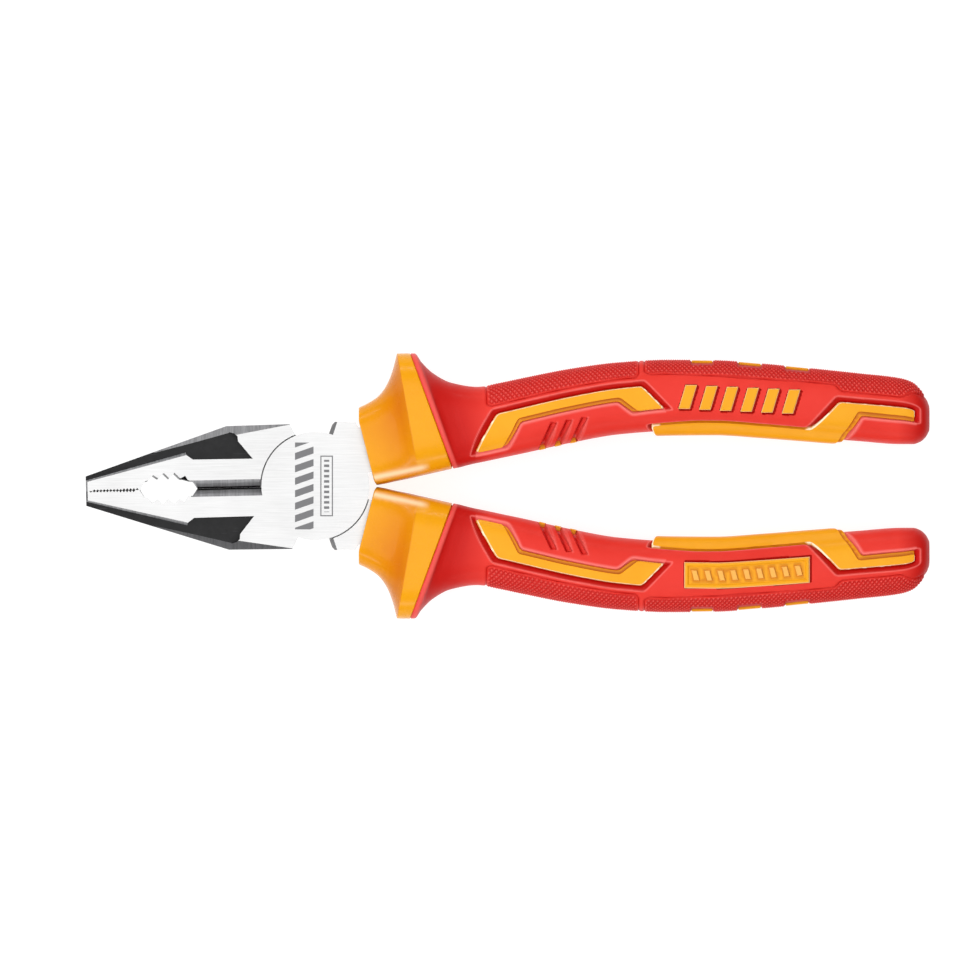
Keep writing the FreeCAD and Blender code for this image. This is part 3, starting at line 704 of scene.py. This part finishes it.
def collar_piece(hand, side):
    """The finger guard and collar of the insulating sleeve: a hollow cone, a sharp ridge and a flat band."""
    v = girth_columns(*COLLAR_COLUMNS)
    cone_t = np.linspace(CONE_TUBE.start, CONE_TUBE.end, CONE_ROWS)[:, None]
    band_t = np.linspace(BAND_TUBE.start, BAND_TUBE.end - END_GAP, BAND_ROWS)[:, None]
    cone, band = CONE_TUBE.base(cone_t, v[None, :]), BAND_TUBE.base(band_t, v[None, :])
    line = cone[0]
    edge = np.interp(line[:, 1], GUARD_RIM_Y, GUARD_RIM_X)
    fade = np.clip(1 - (cone_t - CONE_TUBE.start) / GUARD_RIM_FADE, 0, 1) ** 2
    cone[..., 0] += fade * (edge - line[:, 0])[None, :]
    before = [
        shrunk(cone[0], s, (-GUARD_FACE_CROWN * (1 - math.exp(-3 * s)), 0, 0)) for s in GUARD_FACE_INSETS
    ]
    after = [shrunk(band[-1], inwards, PARTING_NORMAL * along) for inwards, along in COLLAR_STEPS]
    verts, faces = capped_tube(np.concatenate([before, cone[1:], band[1:], after]))
    piece = new_piece(f"{hand}_guard_collar", verts, faces, side, smooth_angle=22)
    # Painted shade on the cone, and a painted highlight along its belly
    hollow = np.interp(cone_t, CONE_AT, CONE_SHADE) * np.interp(np.abs(v), HOLLOW_AT, HOLLOW_SHADE)
    sheen = [belly_sheen(part) for part in (cone[1:], band[1:])]
    plain = np.zeros(len(before) * len(v))
    paint(piece, deep=np.concatenate([plain, hollow[1:].ravel()]), worn=np.concatenate([plain, *sheen]))
    return piece


def relief_plate(name, side, contours, level, place, floor=-POCKET_DEPTH - 0.2, step=0.8):
    """An inlay in its pocket: its top follows the handle at level(points), which also gives its painted shade
    and painted highlight.
    """
    flat, triangles = triangulated(contours, step)
    t, v = place(flat)
    lift, deep, worn = level(flat)
    top = GRIP_TUBE.point(t, v, lift)
    bottom = GRIP_TUBE.point(t, v, np.full(len(flat), floor))
    verts, faces = closed_plate(flat, triangles, top, bottom)
    piece = new_piece(name, verts, faces, side, smooth_angle=28)
    # Painted shade over the plate's hidden bottom
    paint(piece, deep=np.concatenate([deep, np.ones(len(flat))]), worn=worn)
    return piece


def front_place(points):
    return points[:, 0], points[:, 1]


def back_place(points):
    return points[:, 0], -points[:, 1]


def belly_place(points):
    return points[:, 0], GIRTH - points[:, 1]


FACES = (("front", front_place), ("back", back_place))


def stepped_contours(outline, ledge_widths, chamfer_widths):
    """Outline, ledge, band, chamfer and painted-highlight contours of an inlay with a lower ledge along some
    of its edges.
    """
    band_widths = [w + RISER if w else 0 for w in ledge_widths]
    bright_widths = [HIGHLIGHT_SHARE * w for w in chamfer_widths]
    widths = ([0] * len(outline), ledge_widths, band_widths, chamfer_widths, bright_widths)
    return [rounded(inset(outline, each)) for each in widths]


def stepped_level(contours, points):
    """Height, painted shade and painted highlight of such an inlay: painted shade on the ledge and the foot
    of its step, a painted highlight on the chamfer.
    """
    outline, ledge, band, chamfered, bright = contours
    on_band = ramp(band, ledge, points)
    on_edge = 1 - ramp(chamfered, outline, points)
    lift = LEDGE_LEVEL + (MAIN_LEVEL - LEDGE_LEVEL) * on_band - EDGE_DROP * on_edge
    inner = -distance_to(outline, points)
    # Painted shade at the foot of the step and on the ledge, painted highlight on the outer part of the
    # chamfer
    step_foot = near(ledge, points, FOOT_LINE) * (inner > 0.2)
    on_ledge = LEDGE_SHADE * (1 - on_band) * (inner > 0.01)
    shine = (1 - ramp(chamfered, bright, points)) * (on_band > 0.5)
    return lift, np.maximum(step_foot, on_ledge), shine


def chevron_pieces(hand, side):
    """The chevron inlays: a main band with a lower ledge along its inner edges."""
    contours = stepped_contours(GRIP_TUBE.unrolled(CHEVRON), CHEVRON_LEDGE, CHEVRON_CHAMFER)
    level = partial(stepped_level, contours)
    return {
        f"{hand}_chevron_inlay_{face}": relief_plate(f"{hand}_chevron_{face}", side, contours, level, place)
        for face, place in FACES
    }


def stripe_piece(hand, side):
    """The rear stripe: it runs along the belly, over it to the back, and out along both faces."""
    ledges, chamfers = (list(widths) + list(widths)[::-1] for widths in (STRIPE_LEDGE, STRIPE_CHAMFER))
    contours = stepped_contours(stripe_outline(), ledges, chamfers)

    def level(points):
        lift, deep, worn = stepped_level(contours, points)
        # Painted shade instead of a painted highlight on the chamfer in this stretch
        shaded = (points[:, 0] > STRIPE_SHADED[0]) & (points[:, 0] < STRIPE_SHADED[1])
        deep, worn = np.maximum(deep, STRIPE_SHADE * worn * shaded), worn * ~shaded
        on_belly = np.clip((BELLY_FLANK[0] - np.abs(points[:, 1])) / BELLY_FLANK[1], 0, 1)
        return lift + (STRIPE_RISE - MAIN_LEVEL) * on_belly * on_belly * (3 - 2 * on_belly), deep, worn

    return relief_plate(f"{hand}_rear_stripe", side, contours, level, belly_place)


def badge_contours(hand):
    """Outlines of a handle's badge over (t, girth from the spine): slanting bars, or one plate."""
    if hand == "lower":
        return [GRIP_TUBE.unrolled(NAMEPLATE)]
    outlines = []
    for k in range(BAR_COUNT):
        x, y = BAR_START[0] + k * BAR_PITCH, BAR_START[1] - k * BAR_PITCH * BAR_DROP
        foot = [(x, y), (x + BAR_WIDTH, y)]
        head = [(x + BAR_WIDTH + BAR_SLANT, y + BAR_HEIGHT), (x + BAR_SLANT, y + BAR_HEIGHT)]
        outlines.append(GRIP_TUBE.unrolled(foot + head))
    return outlines


def plate_ribs(plate):
    """Outlines of the row of plain ribs inside the lower handle's plate."""
    a, b, c, d = plate
    ribs = []
    for k in range(RIB_COUNT):
        share = (k + 0.5) / RIB_COUNT
        foot, head = a + (b - a) * share, d + (c - d) * share
        along, up = (b - a) / np.linalg.norm(b - a), head - foot
        half, lean = along * RIB_WIDTH / 2, along * RIB_LEAN
        low, high = (foot + up * end for end in RIB_ENDS)
        ribs.append(np.array([low - half - lean, low + half - lean, high + half + lean, high - half + lean]))
    return ribs


def plain_level(outline, rim, rise, drop, worn, points):
    """Height of a plain raised bar with a bevelled rim, with no painted shade and a painted highlight on its
    bevel.
    """
    on_edge = 1 - ramp(rim, outline, points)
    return rise - drop * on_edge, np.zeros(len(points)), worn * on_edge


def plate_level(contours, ribs, points):
    """Height, painted shade and painted highlights of the framed plate: a bevelled frame, a sunk field, and
    ribs standing in it.
    """
    outline, rim, frame_edge, field = contours
    lift, deep, worn = plain_level(outline, rim, BADGE_RISE, BADGE_DROP["lower"], RIM_HIGHLIGHT, points)
    sunk = ramp(field, frame_edge, points)
    # Painted shade on the frame's slope; painted highlight on the ribs, painted shade at their feet
    deep = np.maximum(deep, FRAME_SHADE * np.clip(4 * sunk * (1 - sunk), 0, 1))
    lift -= FIELD_DEPTH * sunk
    for rib in ribs:
        height = ramp(inset(rib, [RIB_BEVEL] * 4), rib, points)
        lift += FIELD_DEPTH * height
        worn = np.maximum(worn, RIB_HIGHLIGHT * height)
        deep = np.maximum(deep, RIB_FOOT_SHADE * near(rib, points, RIB_FOOT_LINE))
    return lift, deep, worn


def badge_pieces(hand, side):
    """Raised bars on the upper handle; on the lower one a bevelled plate with a sunk field and plain ribs."""
    made = {}
    for face, place in FACES:
        parts = []
        for outline in badge_contours(hand):
            contours = [outline] + [inset(outline, [width] * 4) for width in BADGE_RIMS[hand]]
            if hand == "lower":
                ribs = plate_ribs(contours[-1])
                level = partial(plate_level, contours, ribs)
            else:
                ribs = []
                level = partial(plain_level, *contours, BADGE_RISE, BADGE_DROP[hand], RIM_HIGHLIGHT)
            lines = contours + ribs + [inset(rib, [RIB_BEVEL] * 4) for rib in ribs]
            name = f"{hand}_badge_{face}"
            parts.append(relief_plate(name, side, lines, level, place, floor=-0.9, step=0.9))
        made[name] = joined(parts)
    return made


def bar_pieces(hand, side):
    """The three bars let into the spine, and the three slivers at the belly ends of the slanting grooves."""
    half, gap = SPINE_BAR_HALF_GIRTH, SPINE_BAR_GAP
    spine = [
        np.array([(start + gap, -half), (end - gap, -half), (end - gap, half), (start + gap, half)])
        for start, end in SPINE_WINDOWS
    ]
    belly = []
    for k in range(SLASH_COUNT):
        x = SLASH_START[0] + SLIVER_SHIFT + k * SLASH_PITCH
        far = x + SLASH_WIDTH
        belly.append(np.array([(x, -SLIVER_HALF), (far, -SLIVER_HALF), (far + SLIVER_SHIFT, 0),
                               (far, SLIVER_HALF), (x, SLIVER_HALF), (x + SLIVER_SHIFT, 0)]))
    made = {}
    for kind, outlines, place, rise, floor in (
        ("spine", spine, front_place, SPINE_BAR_RISE, SPINE_BAR_FLOOR),
        ("belly", belly, belly_place, SLIVER_RISE, SLIVER_FLOOR),
    ):
        parts, name = [], f"{hand}_{kind}_inlays"
        for outline in outlines:
            rim = inset(outline, [SMALL_RIM] * len(outline))
            level = partial(plain_level, outline, rim, rise, SMALL_DROP, 0)
            parts.append(relief_plate(name, side, [outline, rim], level, place, floor))
        made[name] = joined(parts)
    return made


def joined(parts):
    """One object from several that make up a single kind of inlay."""
    first = parts[0]
    for other in parts[1:]:
        shell = bmesh.new()
        shell.from_mesh(first.data)
        shell.from_mesh(other.data)
        shell.to_mesh(first.data)
        shell.free()
        bpy.data.objects.remove(other)
    return first


# --- Steel halves ---


TEETH_BOX, TEETH_SLOPE, TEETH_HALF_WIDTH = (-54.0, -28.0), 0.0227, 4.6  # edges in here stay unbroken
SHARP_DEGREES, BROKEN_EDGE, SHORTEST_BROKEN = 20, 0.1, 0.35
WELD, COPLANAR_DEGREES = 0.002, 0.6


def forging_piece(node, name):
    """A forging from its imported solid, with its tessellation cleaned up and its edges broken."""
    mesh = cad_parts[node].data.copy()
    piece = in_scene(name, mesh)
    shell = bmesh.new()
    shell.from_mesh(mesh)
    bmesh.ops.remove_doubles(shell, verts=shell.verts, dist=WELD * MM)
    flat_angle = math.radians(COPLANAR_DEGREES)
    bmesh.ops.dissolve_limit(shell, angle_limit=flat_angle, verts=shell.verts, edges=shell.edges)
    sharp = []
    for edge in shell.edges:
        if len(edge.link_faces) != 2 or edge.calc_length() < SHORTEST_BROKEN * MM:
            continue
        middle = (edge.verts[0].co + edge.verts[1].co) / 2 / MM
        off_line = abs(middle.y + TEETH_SLOPE * -middle.x)
        in_teeth = TEETH_BOX[0] < middle.x < TEETH_BOX[1] and off_line < TEETH_HALF_WIDTH
        if edge.is_convex and edge.calc_face_angle() > math.radians(SHARP_DEGREES) and not in_teeth:
            sharp.append(edge)
    bmesh.ops.bevel(shell, geom=sharp, offset=BROKEN_EDGE * MM, segments=2, profile=0.5, affect="EDGES",
                    clamp_overlap=True)
    bmesh.ops.recalc_face_normals(shell, faces=shell.faces)
    shell.to_mesh(mesh)
    shell.free()
    smoothed(mesh, SHARP_DEGREES)
    mesh.materials.clear()
    return piece


# --- Materials ---


class Shader:
    """A material's node tree, with short calls for the nodes used here."""

    def __init__(self, name):
        self.material = bpy.data.materials.new(name)
        self.material.use_nodes = True
        self.tree = self.material.node_tree
        self.surface = self.tree.nodes["Principled BSDF"]
        self.place = self.node("ShaderNodeTexCoord").outputs["Object"]

    def node(self, kind, **settings):
        made = self.tree.nodes.new(kind)
        for key, value in settings.items():
            setattr(made, key, value)
        return made

    def join(self, value, socket):
        if isinstance(value, bpy.types.NodeSocket):
            self.tree.links.new(value, socket)
        else:
            socket.default_value = value

    def math(self, operation, a, b=0.0):
        made = self.node("ShaderNodeMath", operation=operation)
        self.join(a, made.inputs[0])
        self.join(b, made.inputs[1])
        return made.outputs[0]

    def axes(self):
        split = self.node("ShaderNodeSeparateXYZ")
        self.join(self.place, split.inputs[0])
        return split.outputs

    def tone(self, name):
        return self.node("ShaderNodeAttribute", attribute_name=name).outputs["Fac"]

    def stretched(self, scale, rotation=(0, 0, 0)):
        made = self.node("ShaderNodeMapping")
        self.join(self.place, made.inputs["Vector"])
        made.inputs["Scale"].default_value = scale
        made.inputs["Rotation"].default_value = rotation
        return made.outputs[0]

    def noise(self, scale, detail, roughness, vector=None):
        made = self.node("ShaderNodeTexNoise")
        self.join(vector or self.place, made.inputs["Vector"])
        made.inputs["Scale"].default_value = scale
        made.inputs["Detail"].default_value = detail
        made.inputs["Roughness"].default_value = roughness
        return made.outputs["Fac"]

    def remap(self, value, low, high, to_low, to_high):
        made = self.node("ShaderNodeMapRange")
        for socket, setting in zip(made.inputs, (value, low, high, to_low, to_high)):
            self.join(setting, socket)
        return made.outputs[0]

    def blend(self, share, a, b):
        made = self.node("ShaderNodeMix", data_type="RGBA")
        self.join(share, made.inputs["Factor"])
        self.join(a, made.inputs[6])
        self.join(b, made.inputs[7])
        return made.outputs[2]

    def bump(self, height, strength, distance, below=None):
        made = self.node("ShaderNodeBump")
        made.inputs["Strength"].default_value = strength
        made.inputs["Distance"].default_value = distance
        self.join(height, made.inputs["Height"])
        if below:
            self.join(below, made.inputs["Normal"])
        return made.outputs[0]

    def set(self, **values):
        names = {"color": "Base Color", "roughness": "Roughness", "metallic": "Metallic",
                 "normal": "Normal", "specular": "Specular IOR Level"}
        for key, value in values.items():
            self.join(value, self.surface.inputs[names[key]])
        return self.material


STEEL_METAL = 0.5


def linear(red, green, blue):
    """A linear colour from 0-255 display values."""
    def channel(c):
        c /= 255
        return c / 12.92 if c <= 0.04045 else ((c + 0.055) / 1.055) ** 2.4
    return (channel(red), channel(green), channel(blue), 1)


def moulded(name, light, dark, deep, worn, roughness, grain, specular):
    """Moulded plastic or rubber: a mottled colour, the painted shade and painted highlight stored on the
    mesh, a fine grain, uneven gloss.
    """
    shader = Shader(name)
    mottle = shader.remap(shader.noise(90, 3, 0.6), 0.3, 0.7, 0, 1)
    color = shader.blend(mottle, light, dark)
    # Painted shade and painted highlight, read from the mesh, darken and lighten the colour
    color = shader.blend(shader.tone("deep"), color, deep)
    color = shader.blend(shader.tone("worn"), color, worn)
    fine = shader.noise(5200, 2, 0.5)
    pores = shader.noise(1500, 2, 0.5)
    normal = shader.bump(fine, 0.12 * grain, 0.00012)
    normal = shader.bump(pores, 0.1 * grain, 0.0002, normal)
    rough = shader.remap(shader.noise(260, 3, 0.6), 0.3, 0.7, roughness - 0.04, roughness + 0.05)
    return shader.set(color=color, roughness=rough, normal=normal, specular=specular)


def ground_steel(name, marked):
    """Steel ground along the head: fine streaks in colour, gloss and height, and a marking if asked."""
    shader = Shader(name)
    along = shader.stretched((110, 2600, 900), (0, 0, HEAD_TILT))
    streaks = shader.noise(1, 4, 0.65, along)
    cloud = shader.noise(70, 3, 0.5)
    rough = shader.remap(streaks, 0.25, 0.75, 0.3, 0.46)
    tone = shader.math("ADD", shader.math("MULTIPLY", streaks, 0.7), shader.math("MULTIPLY", cloud, 0.3))
    tone = shader.remap(tone, 0.35, 0.65, 0, 1)
    color = shader.blend(tone, linear(186, 186, 186), linear(204, 204, 204))
    metal = STEEL_METAL
    if marked:
        mark = laser_mark(shader)
        color = shader.blend(mark, color, linear(110, 110, 112))
        rough = shader.math("MAXIMUM", rough, shader.math("MULTIPLY", mark, 0.6))
        metal = shader.remap(mark, 0, 1, STEEL_METAL, 0.1)
    normal = shader.bump(streaks, 0.1, 0.00005)
    return shader.set(color=color, roughness=rough, metallic=metal, normal=normal)


MARK_X, MARK_SLANT, MARK_DEPTH = 2.65, -0.35, 0.3
MARK_BARS, MARK_BAR_PITCH, MARK_BAR_DUTY = (2.2, 10.3), 2.95, 0.56  # half width and half height of a column
MARK_BOX, MARK_HOLLOW = (1.5, 7.2), (1.22, 6.92)
MARK_DASHES, MARK_DASH_PITCH, MARK_DASH_DUTY = (0.62, 6.2), 1.24, 0.5
ALWAYS_POSITIVE = 60


def laser_mark(shader):
    """Mask of a plain marking on the disc: a column of slanting bars, and a box of short dashes."""
    x, y, z = (shader.math("MULTIPLY", socket, 1 / MM) for socket in shader.axes())

    def inside(value, middle, half):
        away = shader.math("ABSOLUTE", shader.math("SUBTRACT", value, middle))
        return shader.math("LESS_THAN", away, half)

    def times(*masks):
        total = masks[0]
        for mask in masks[1:]:
            total = shader.math("MULTIPLY", total, mask)
        return total

    def box(middle, half_size):
        return times(inside(x, middle, half_size[0]), inside(y, 0.0, half_size[1]))

    def striped(value, pitch, duty):
        turns = shader.math("DIVIDE", shader.math("ADD", value, ALWAYS_POSITIVE), pitch)
        return shader.math("LESS_THAN", shader.math("FRACT", turns), duty)

    slanted = shader.math("ADD", y, shader.math("MULTIPLY", x, MARK_SLANT))
    bars = times(box(-MARK_X, MARK_BARS), striped(slanted, MARK_BAR_PITCH, MARK_BAR_DUTY))
    hollow = shader.math("SUBTRACT", 1, box(MARK_X, MARK_HOLLOW))
    dashes = times(box(MARK_X, MARK_DASHES), striped(y, MARK_DASH_PITCH, MARK_DASH_DUTY))
    framed = shader.math("MAXIMUM", shader.math("MULTIPLY", box(MARK_X, MARK_BOX), hollow), dashes)
    on_top = shader.math("GREATER_THAN", z, LAP_HEIGHT + HALF_HEAD - MARK_DEPTH)
    return times(shader.math("MAXIMUM", bars, framed), on_top)


def oxide(name, tone, metallic=0.2, specular=0.3):
    """Black oxide, or the painted shadow of a gap: mottled, with fine pale scratches."""
    shader = Shader(name)
    mottle = shader.noise(420, 5, 0.65)
    scratch = shader.noise(1, 2, 0.5, shader.stretched((160, 3400, 3400), (0, 0, 0.5)))
    scratch = shader.remap(scratch, 0.68, 0.74, 0, 0.35)
    dark, light = linear(*(c - 7 for c in tone)), linear(*(c + 9 for c in tone))
    color = shader.blend(shader.remap(mottle, 0.3, 0.7, 0, 1), dark, light)
    color = shader.blend(scratch, color, linear(*(min(255, 3 * c) for c in tone)))
    rough = shader.remap(mottle, 0.3, 0.7, 0.42, 0.6)
    normal = shader.bump(mottle, 0.15, 0.0001)
    return shader.set(color=color, roughness=rough, metallic=metallic, specular=specular, normal=normal)


SHADOW_BESIDE = (0.28, 0.5)  # distances from the closing line where the painted shadow ends


def milled(name, dark, light, direction, shadow_edge=False):
    """Cut steel with coarse tool marks across it, and a painted shadow beside the closing line if asked."""
    shader = Shader(name)
    marks = shader.noise(1, 4, 0.7, shader.stretched(direction, (0, 0, HEAD_TILT)))
    color = shader.blend(shader.remap(marks, 0.3, 0.7, 0, 1), linear(*dark), linear(*light))
    rough = shader.remap(marks, 0.3, 0.7, 0.35, 0.55)
    if shadow_edge:
        x, y, _ = shader.axes()
        across = shader.math("SUBTRACT", shader.math("MULTIPLY", y, math.cos(HEAD_TILT) / MM),
                             shader.math("MULTIPLY", x, math.sin(HEAD_TILT) / MM))
        # Painted shadow beside the closing line
        beside = shader.remap(shader.math("ABSOLUTE", across), *SHADOW_BESIDE, 1, 0)
        color = shader.blend(beside, color, linear(12, 12, 13))
    return shader.set(color=color, roughness=rough, metallic=0.4, normal=shader.bump(marks, 0.2, 0.0001))


# --- Putting it together ---

# Each moulding has one colour for painted shade and one for painted highlight
RED = moulded("soft_red", linear(222, 55, 45), linear(216, 48, 38), deep=linear(184, 14, 10),
              worn=linear(240, 120, 115), roughness=0.45, grain=1.0, specular=0.13)
ORANGE = moulded("orange_moulding", linear(234, 162, 24), linear(229, 155, 17), deep=linear(184, 94, 4),
                 worn=linear(255, 240, 205), roughness=0.38, grain=0.6, specular=0.15)
GUARD = moulded("orange_guard", linear(232, 158, 14), linear(227, 151, 9), deep=linear(206, 110, 0),
                worn=linear(255, 240, 205), roughness=0.26, grain=0.4, specular=0.16)
STEEL = ground_steel("ground_steel", marked=True)
PLAIN_STEEL = ground_steel("ground_steel_plain", marked=False)
BLACK = oxide("black_oxide", (28, 28, 29), specular=0.22)
# Painted shadow: a near-black finish for gaps, holes and hidden lap faces
GAP_SHADOW = oxide("painted_gap_shadow", (10, 10, 11), metallic=0.0, specular=0.05)
BEVEL = milled("cutter_bevel", (146, 146, 148), (206, 206, 208), (2400, 60, 60), shadow_edge=True)
FACET = milled("forged_facet", (104, 104, 106), (156, 156, 158), (1800, 90, 90))
# Painted shade: a darker copy of the forged facet finish
SHADED_FACET = milled("shaded_forged_facet", (56, 56, 58), (94, 94, 96), (1800, 90, 90))
FINISHES = [STEEL, PLAIN_STEEL, BLACK, GAP_SHADOW, BEVEL, FACET, SHADED_FACET]


def head_frame(point):
    """A point in millimetres in the head's own frame, measured from the lap plane."""
    x, y = point.x / MM, point.y / MM
    c, s = math.cos(HEAD_TILT), math.sin(HEAD_TILT)
    return x * c + y * s, y * c - x * s, point.z / MM - LAP_HEIGHT


# How far a face points up or down: 1 is level, 0 upright.
LEVEL, NEARLY_LEVEL, MOSTLY_LEVEL, SLOPING = 0.999, 0.97, 0.9, 0.3
TANG_START, TANG_DRAFT, TANG_DRAFT_FACING = -5, (2.5, 6.5, 11.9), (0.1, 0.6)
LAP_ZONE, JOINT_ZONE, TEETH_ZONE, NOTCH_ZONE = 0.3, (0.1, 0.35), 0.7, 0.1
NOSE_FLANK_END, NOSE_FACET_FACING, INNER_HALF_WIDTH = -30, 0.7, 4.5


def finish_at(x, y, z, facing, in_flank, upper):
    """The finish of a face by its centre in the head's frame, and by how far it faces up or down."""
    y, z, past_joint = abs(y), abs(z), math.hypot(x, y) - JOINT_RADIUS
    if facing > LEVEL and z > HALF_HEAD - 0.01:
        return STEEL
    if x > TANG_START:
        beside = TANG_DRAFT[0] < x < TANG_DRAFT[1] and y > TANG_DRAFT[2]
        # Painted shade: the drafts beside the tang get the darker facet copy
        if beside and TANG_DRAFT_FACING[0] < facing < TANG_DRAFT_FACING[1]:
            return SHADED_FACET
        return STEEL if facing > MOSTLY_LEVEL else PLAIN_STEEL
    # Painted shadow on the lap faces, round the joint, in the teeth, along the cutter's edge and in the notch
    if z < LAP_ZONE and facing > MOSTLY_LEVEL:
        return GAP_SHADOW
    if -JOINT_ZONE[0] < past_joint < JOINT_ZONE[1] and facing < NEARLY_LEVEL:
        return GAP_SHADOW
    if TEETH[0] < x < TEETH[1] and y < TEETH_ZONE:
        return GAP_SHADOW
    if y < CUTTER_HALF_WIDTH and x > CUTTER_START:
        return GAP_SHADOW if z < CUTTER_EDGE_HEIGHT else BEVEL
    if distance_to(BLIND_NOTCH, np.array([x, y])) < NOTCH_ZONE:
        return GAP_SHADOW
    if in_flank and z < HALF_HEAD - 0.03:
        return FACET if SLOPING < facing < NOSE_FACET_FACING and x < NOSE_FLANK_END else BLACK
    # Painted shade: the front half's sloping facets get the darker facet copy
    if SLOPING < facing < NEARLY_LEVEL:
        return FACET if upper else SHADED_FACET
    return FACET if y < INNER_HALF_WIDTH and facing < 0.5 else PLAIN_STEEL


def forging_surface(piece, upper):
    """Each face's finish: ground flats, black flanks, milled bevels, facets and edges, with painted shadow in
    the gaps and a darker facet copy as painted shade.
    """
    for material in FINISHES:
        piece.data.materials.append(material)
    centres = np.array([head_frame(p.center) for p in piece.data.polygons])
    in_flank = distance_to(FLANK, np.stack([centres[:, 0], np.abs(centres[:, 1])], -1)) < 0
    for polygon, centre, flanked in zip(piece.data.polygons, centres, in_flank):
        facing = abs(polygon.normal.z)
        finish = finish_at(*centre, facing, flanked, upper)
        polygon.use_smooth = facing < LEVEL
        polygon.material_index = FINISHES.index(finish)


def coated(piece, material):
    piece.data.materials.clear()
    piece.data.materials.append(material)


def dress(piece, body, slot, *nodes):
    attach(piece, body)
    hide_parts(*nodes)


for node, name, body in (("front_half_forging", "front_half_steel", "front_half"),
                         ("rear_half_forging", "rear_half_steel", "rear_half")):
    forging = forging_piece(node, name)
    forging_surface(forging, upper=body == "rear_half")
    dress(forging, body, "ground_steel", node)

coated(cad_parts["pivot_rivet"], STEEL)

for hand, side, body in (("upper", 1, "front_half"), ("lower", -1, "rear_half")):
    grip, collar = grip_piece(hand, side), collar_piece(hand, side)
    coated(grip, RED)
    dress(grip, body, "red_grip", f"{hand}_outer_grip")
    coated(collar, GUARD)
    dress(collar, body, "orange_insulation", f"{hand}_insulating_sleeve")
    inlays = {**chevron_pieces(hand, side), **badge_pieces(hand, side), **bar_pieces(hand, side)}
    inlays[f"{hand}_rear_stripe_inlay"] = stripe_piece(hand, side)
    for node, piece in inlays.items():
        coated(piece, ORANGE)
        dress(piece, body, "orange_inlay", node)


# --- Stage, light and camera ---


FLOOR_SIZE, FLOOR_GAP, FLOOR_GLOW, WORLD_LIGHT = 3.0, 0.0002, 0.82, 0.22
VIEW_MIDDLE, VIEW_WIDTH, CAMERA_HEIGHT = (0.0397, 0.0007), 0.2289, 0.6


def stage_floor():
    """A wide pale floor that the guards rest on."""
    shader = Shader("pale_floor")
    tone = shader.remap(shader.noise(6, 2, 0.5), 0.3, 0.7, 0, 1)
    color = shader.blend(tone, (0.29, 0.29, 0.29, 1), (0.31, 0.31, 0.31, 1))
    shader.set(color=color, roughness=0.8, specular=0.1)
    shader.surface.inputs["Emission Color"].default_value = (1, 1, 1, 1)
    shader.surface.inputs["Emission Strength"].default_value = FLOOR_GLOW
    mesh = bpy.data.meshes.new("floor")
    size, height = FLOOR_SIZE, cad_box[0][2] - FLOOR_GAP
    corners = [(x * size, y * size, height) for x, y in ((-1, -1), (1, -1), (1, 1), (-1, 1))]
    mesh.from_pydata(corners, [], [(0, 1, 2, 3)])
    mesh.materials.append(shader.material)
    floor = in_scene("floor", mesh)


def area_light(name, place, target, size, power):
    light = bpy.data.lights.new(name, "AREA")
    light.shape, light.size, light.size_y, light.energy = "RECTANGLE", size[0], size[1], power
    lamp = in_scene(name, light)
    lamp.location = place
    lamp.rotation_euler = (Vector(target) - Vector(place)).to_track_quat("-Z", "Y").to_euler()


def studio():
    world = bpy.data.worlds.new("studio")
    world.use_nodes = True
    background = world.node_tree.nodes["Background"]
    background.inputs["Color"].default_value = (1, 1, 1, 1)
    background.inputs["Strength"].default_value = WORLD_LIGHT
    bpy.context.scene.world = world
    area_light("overhead", (-0.1, 0, 0.9), (-0.1, 0, 0), (1.4, 1.0), 9.2)
    area_light("nose_side", (-0.8, 0, 0.5), (0.03, 0, 0), (0.3, 0.8), 0.4)
    for side in (-1, 1):
        area_light("side_strip", (-0.1, side * 0.75, 0.4), (0, 0, 0), (1.0, 0.06), 3.0)
    bpy.context.scene.view_settings.view_transform = "Standard"
    bpy.context.scene.view_settings.look = "None"


def top_camera():
    camera = bpy.data.cameras.new("camera")
    camera.type, camera.ortho_scale = "ORTHO", VIEW_WIDTH
    camera.clip_start, camera.clip_end = 0.01, 10
    viewer = in_scene("camera", camera)
    viewer.location = (*VIEW_MIDDLE, CAMERA_HEIGHT)
    bpy.context.scene.camera = viewer


stage_floor()
studio()
top_camera()
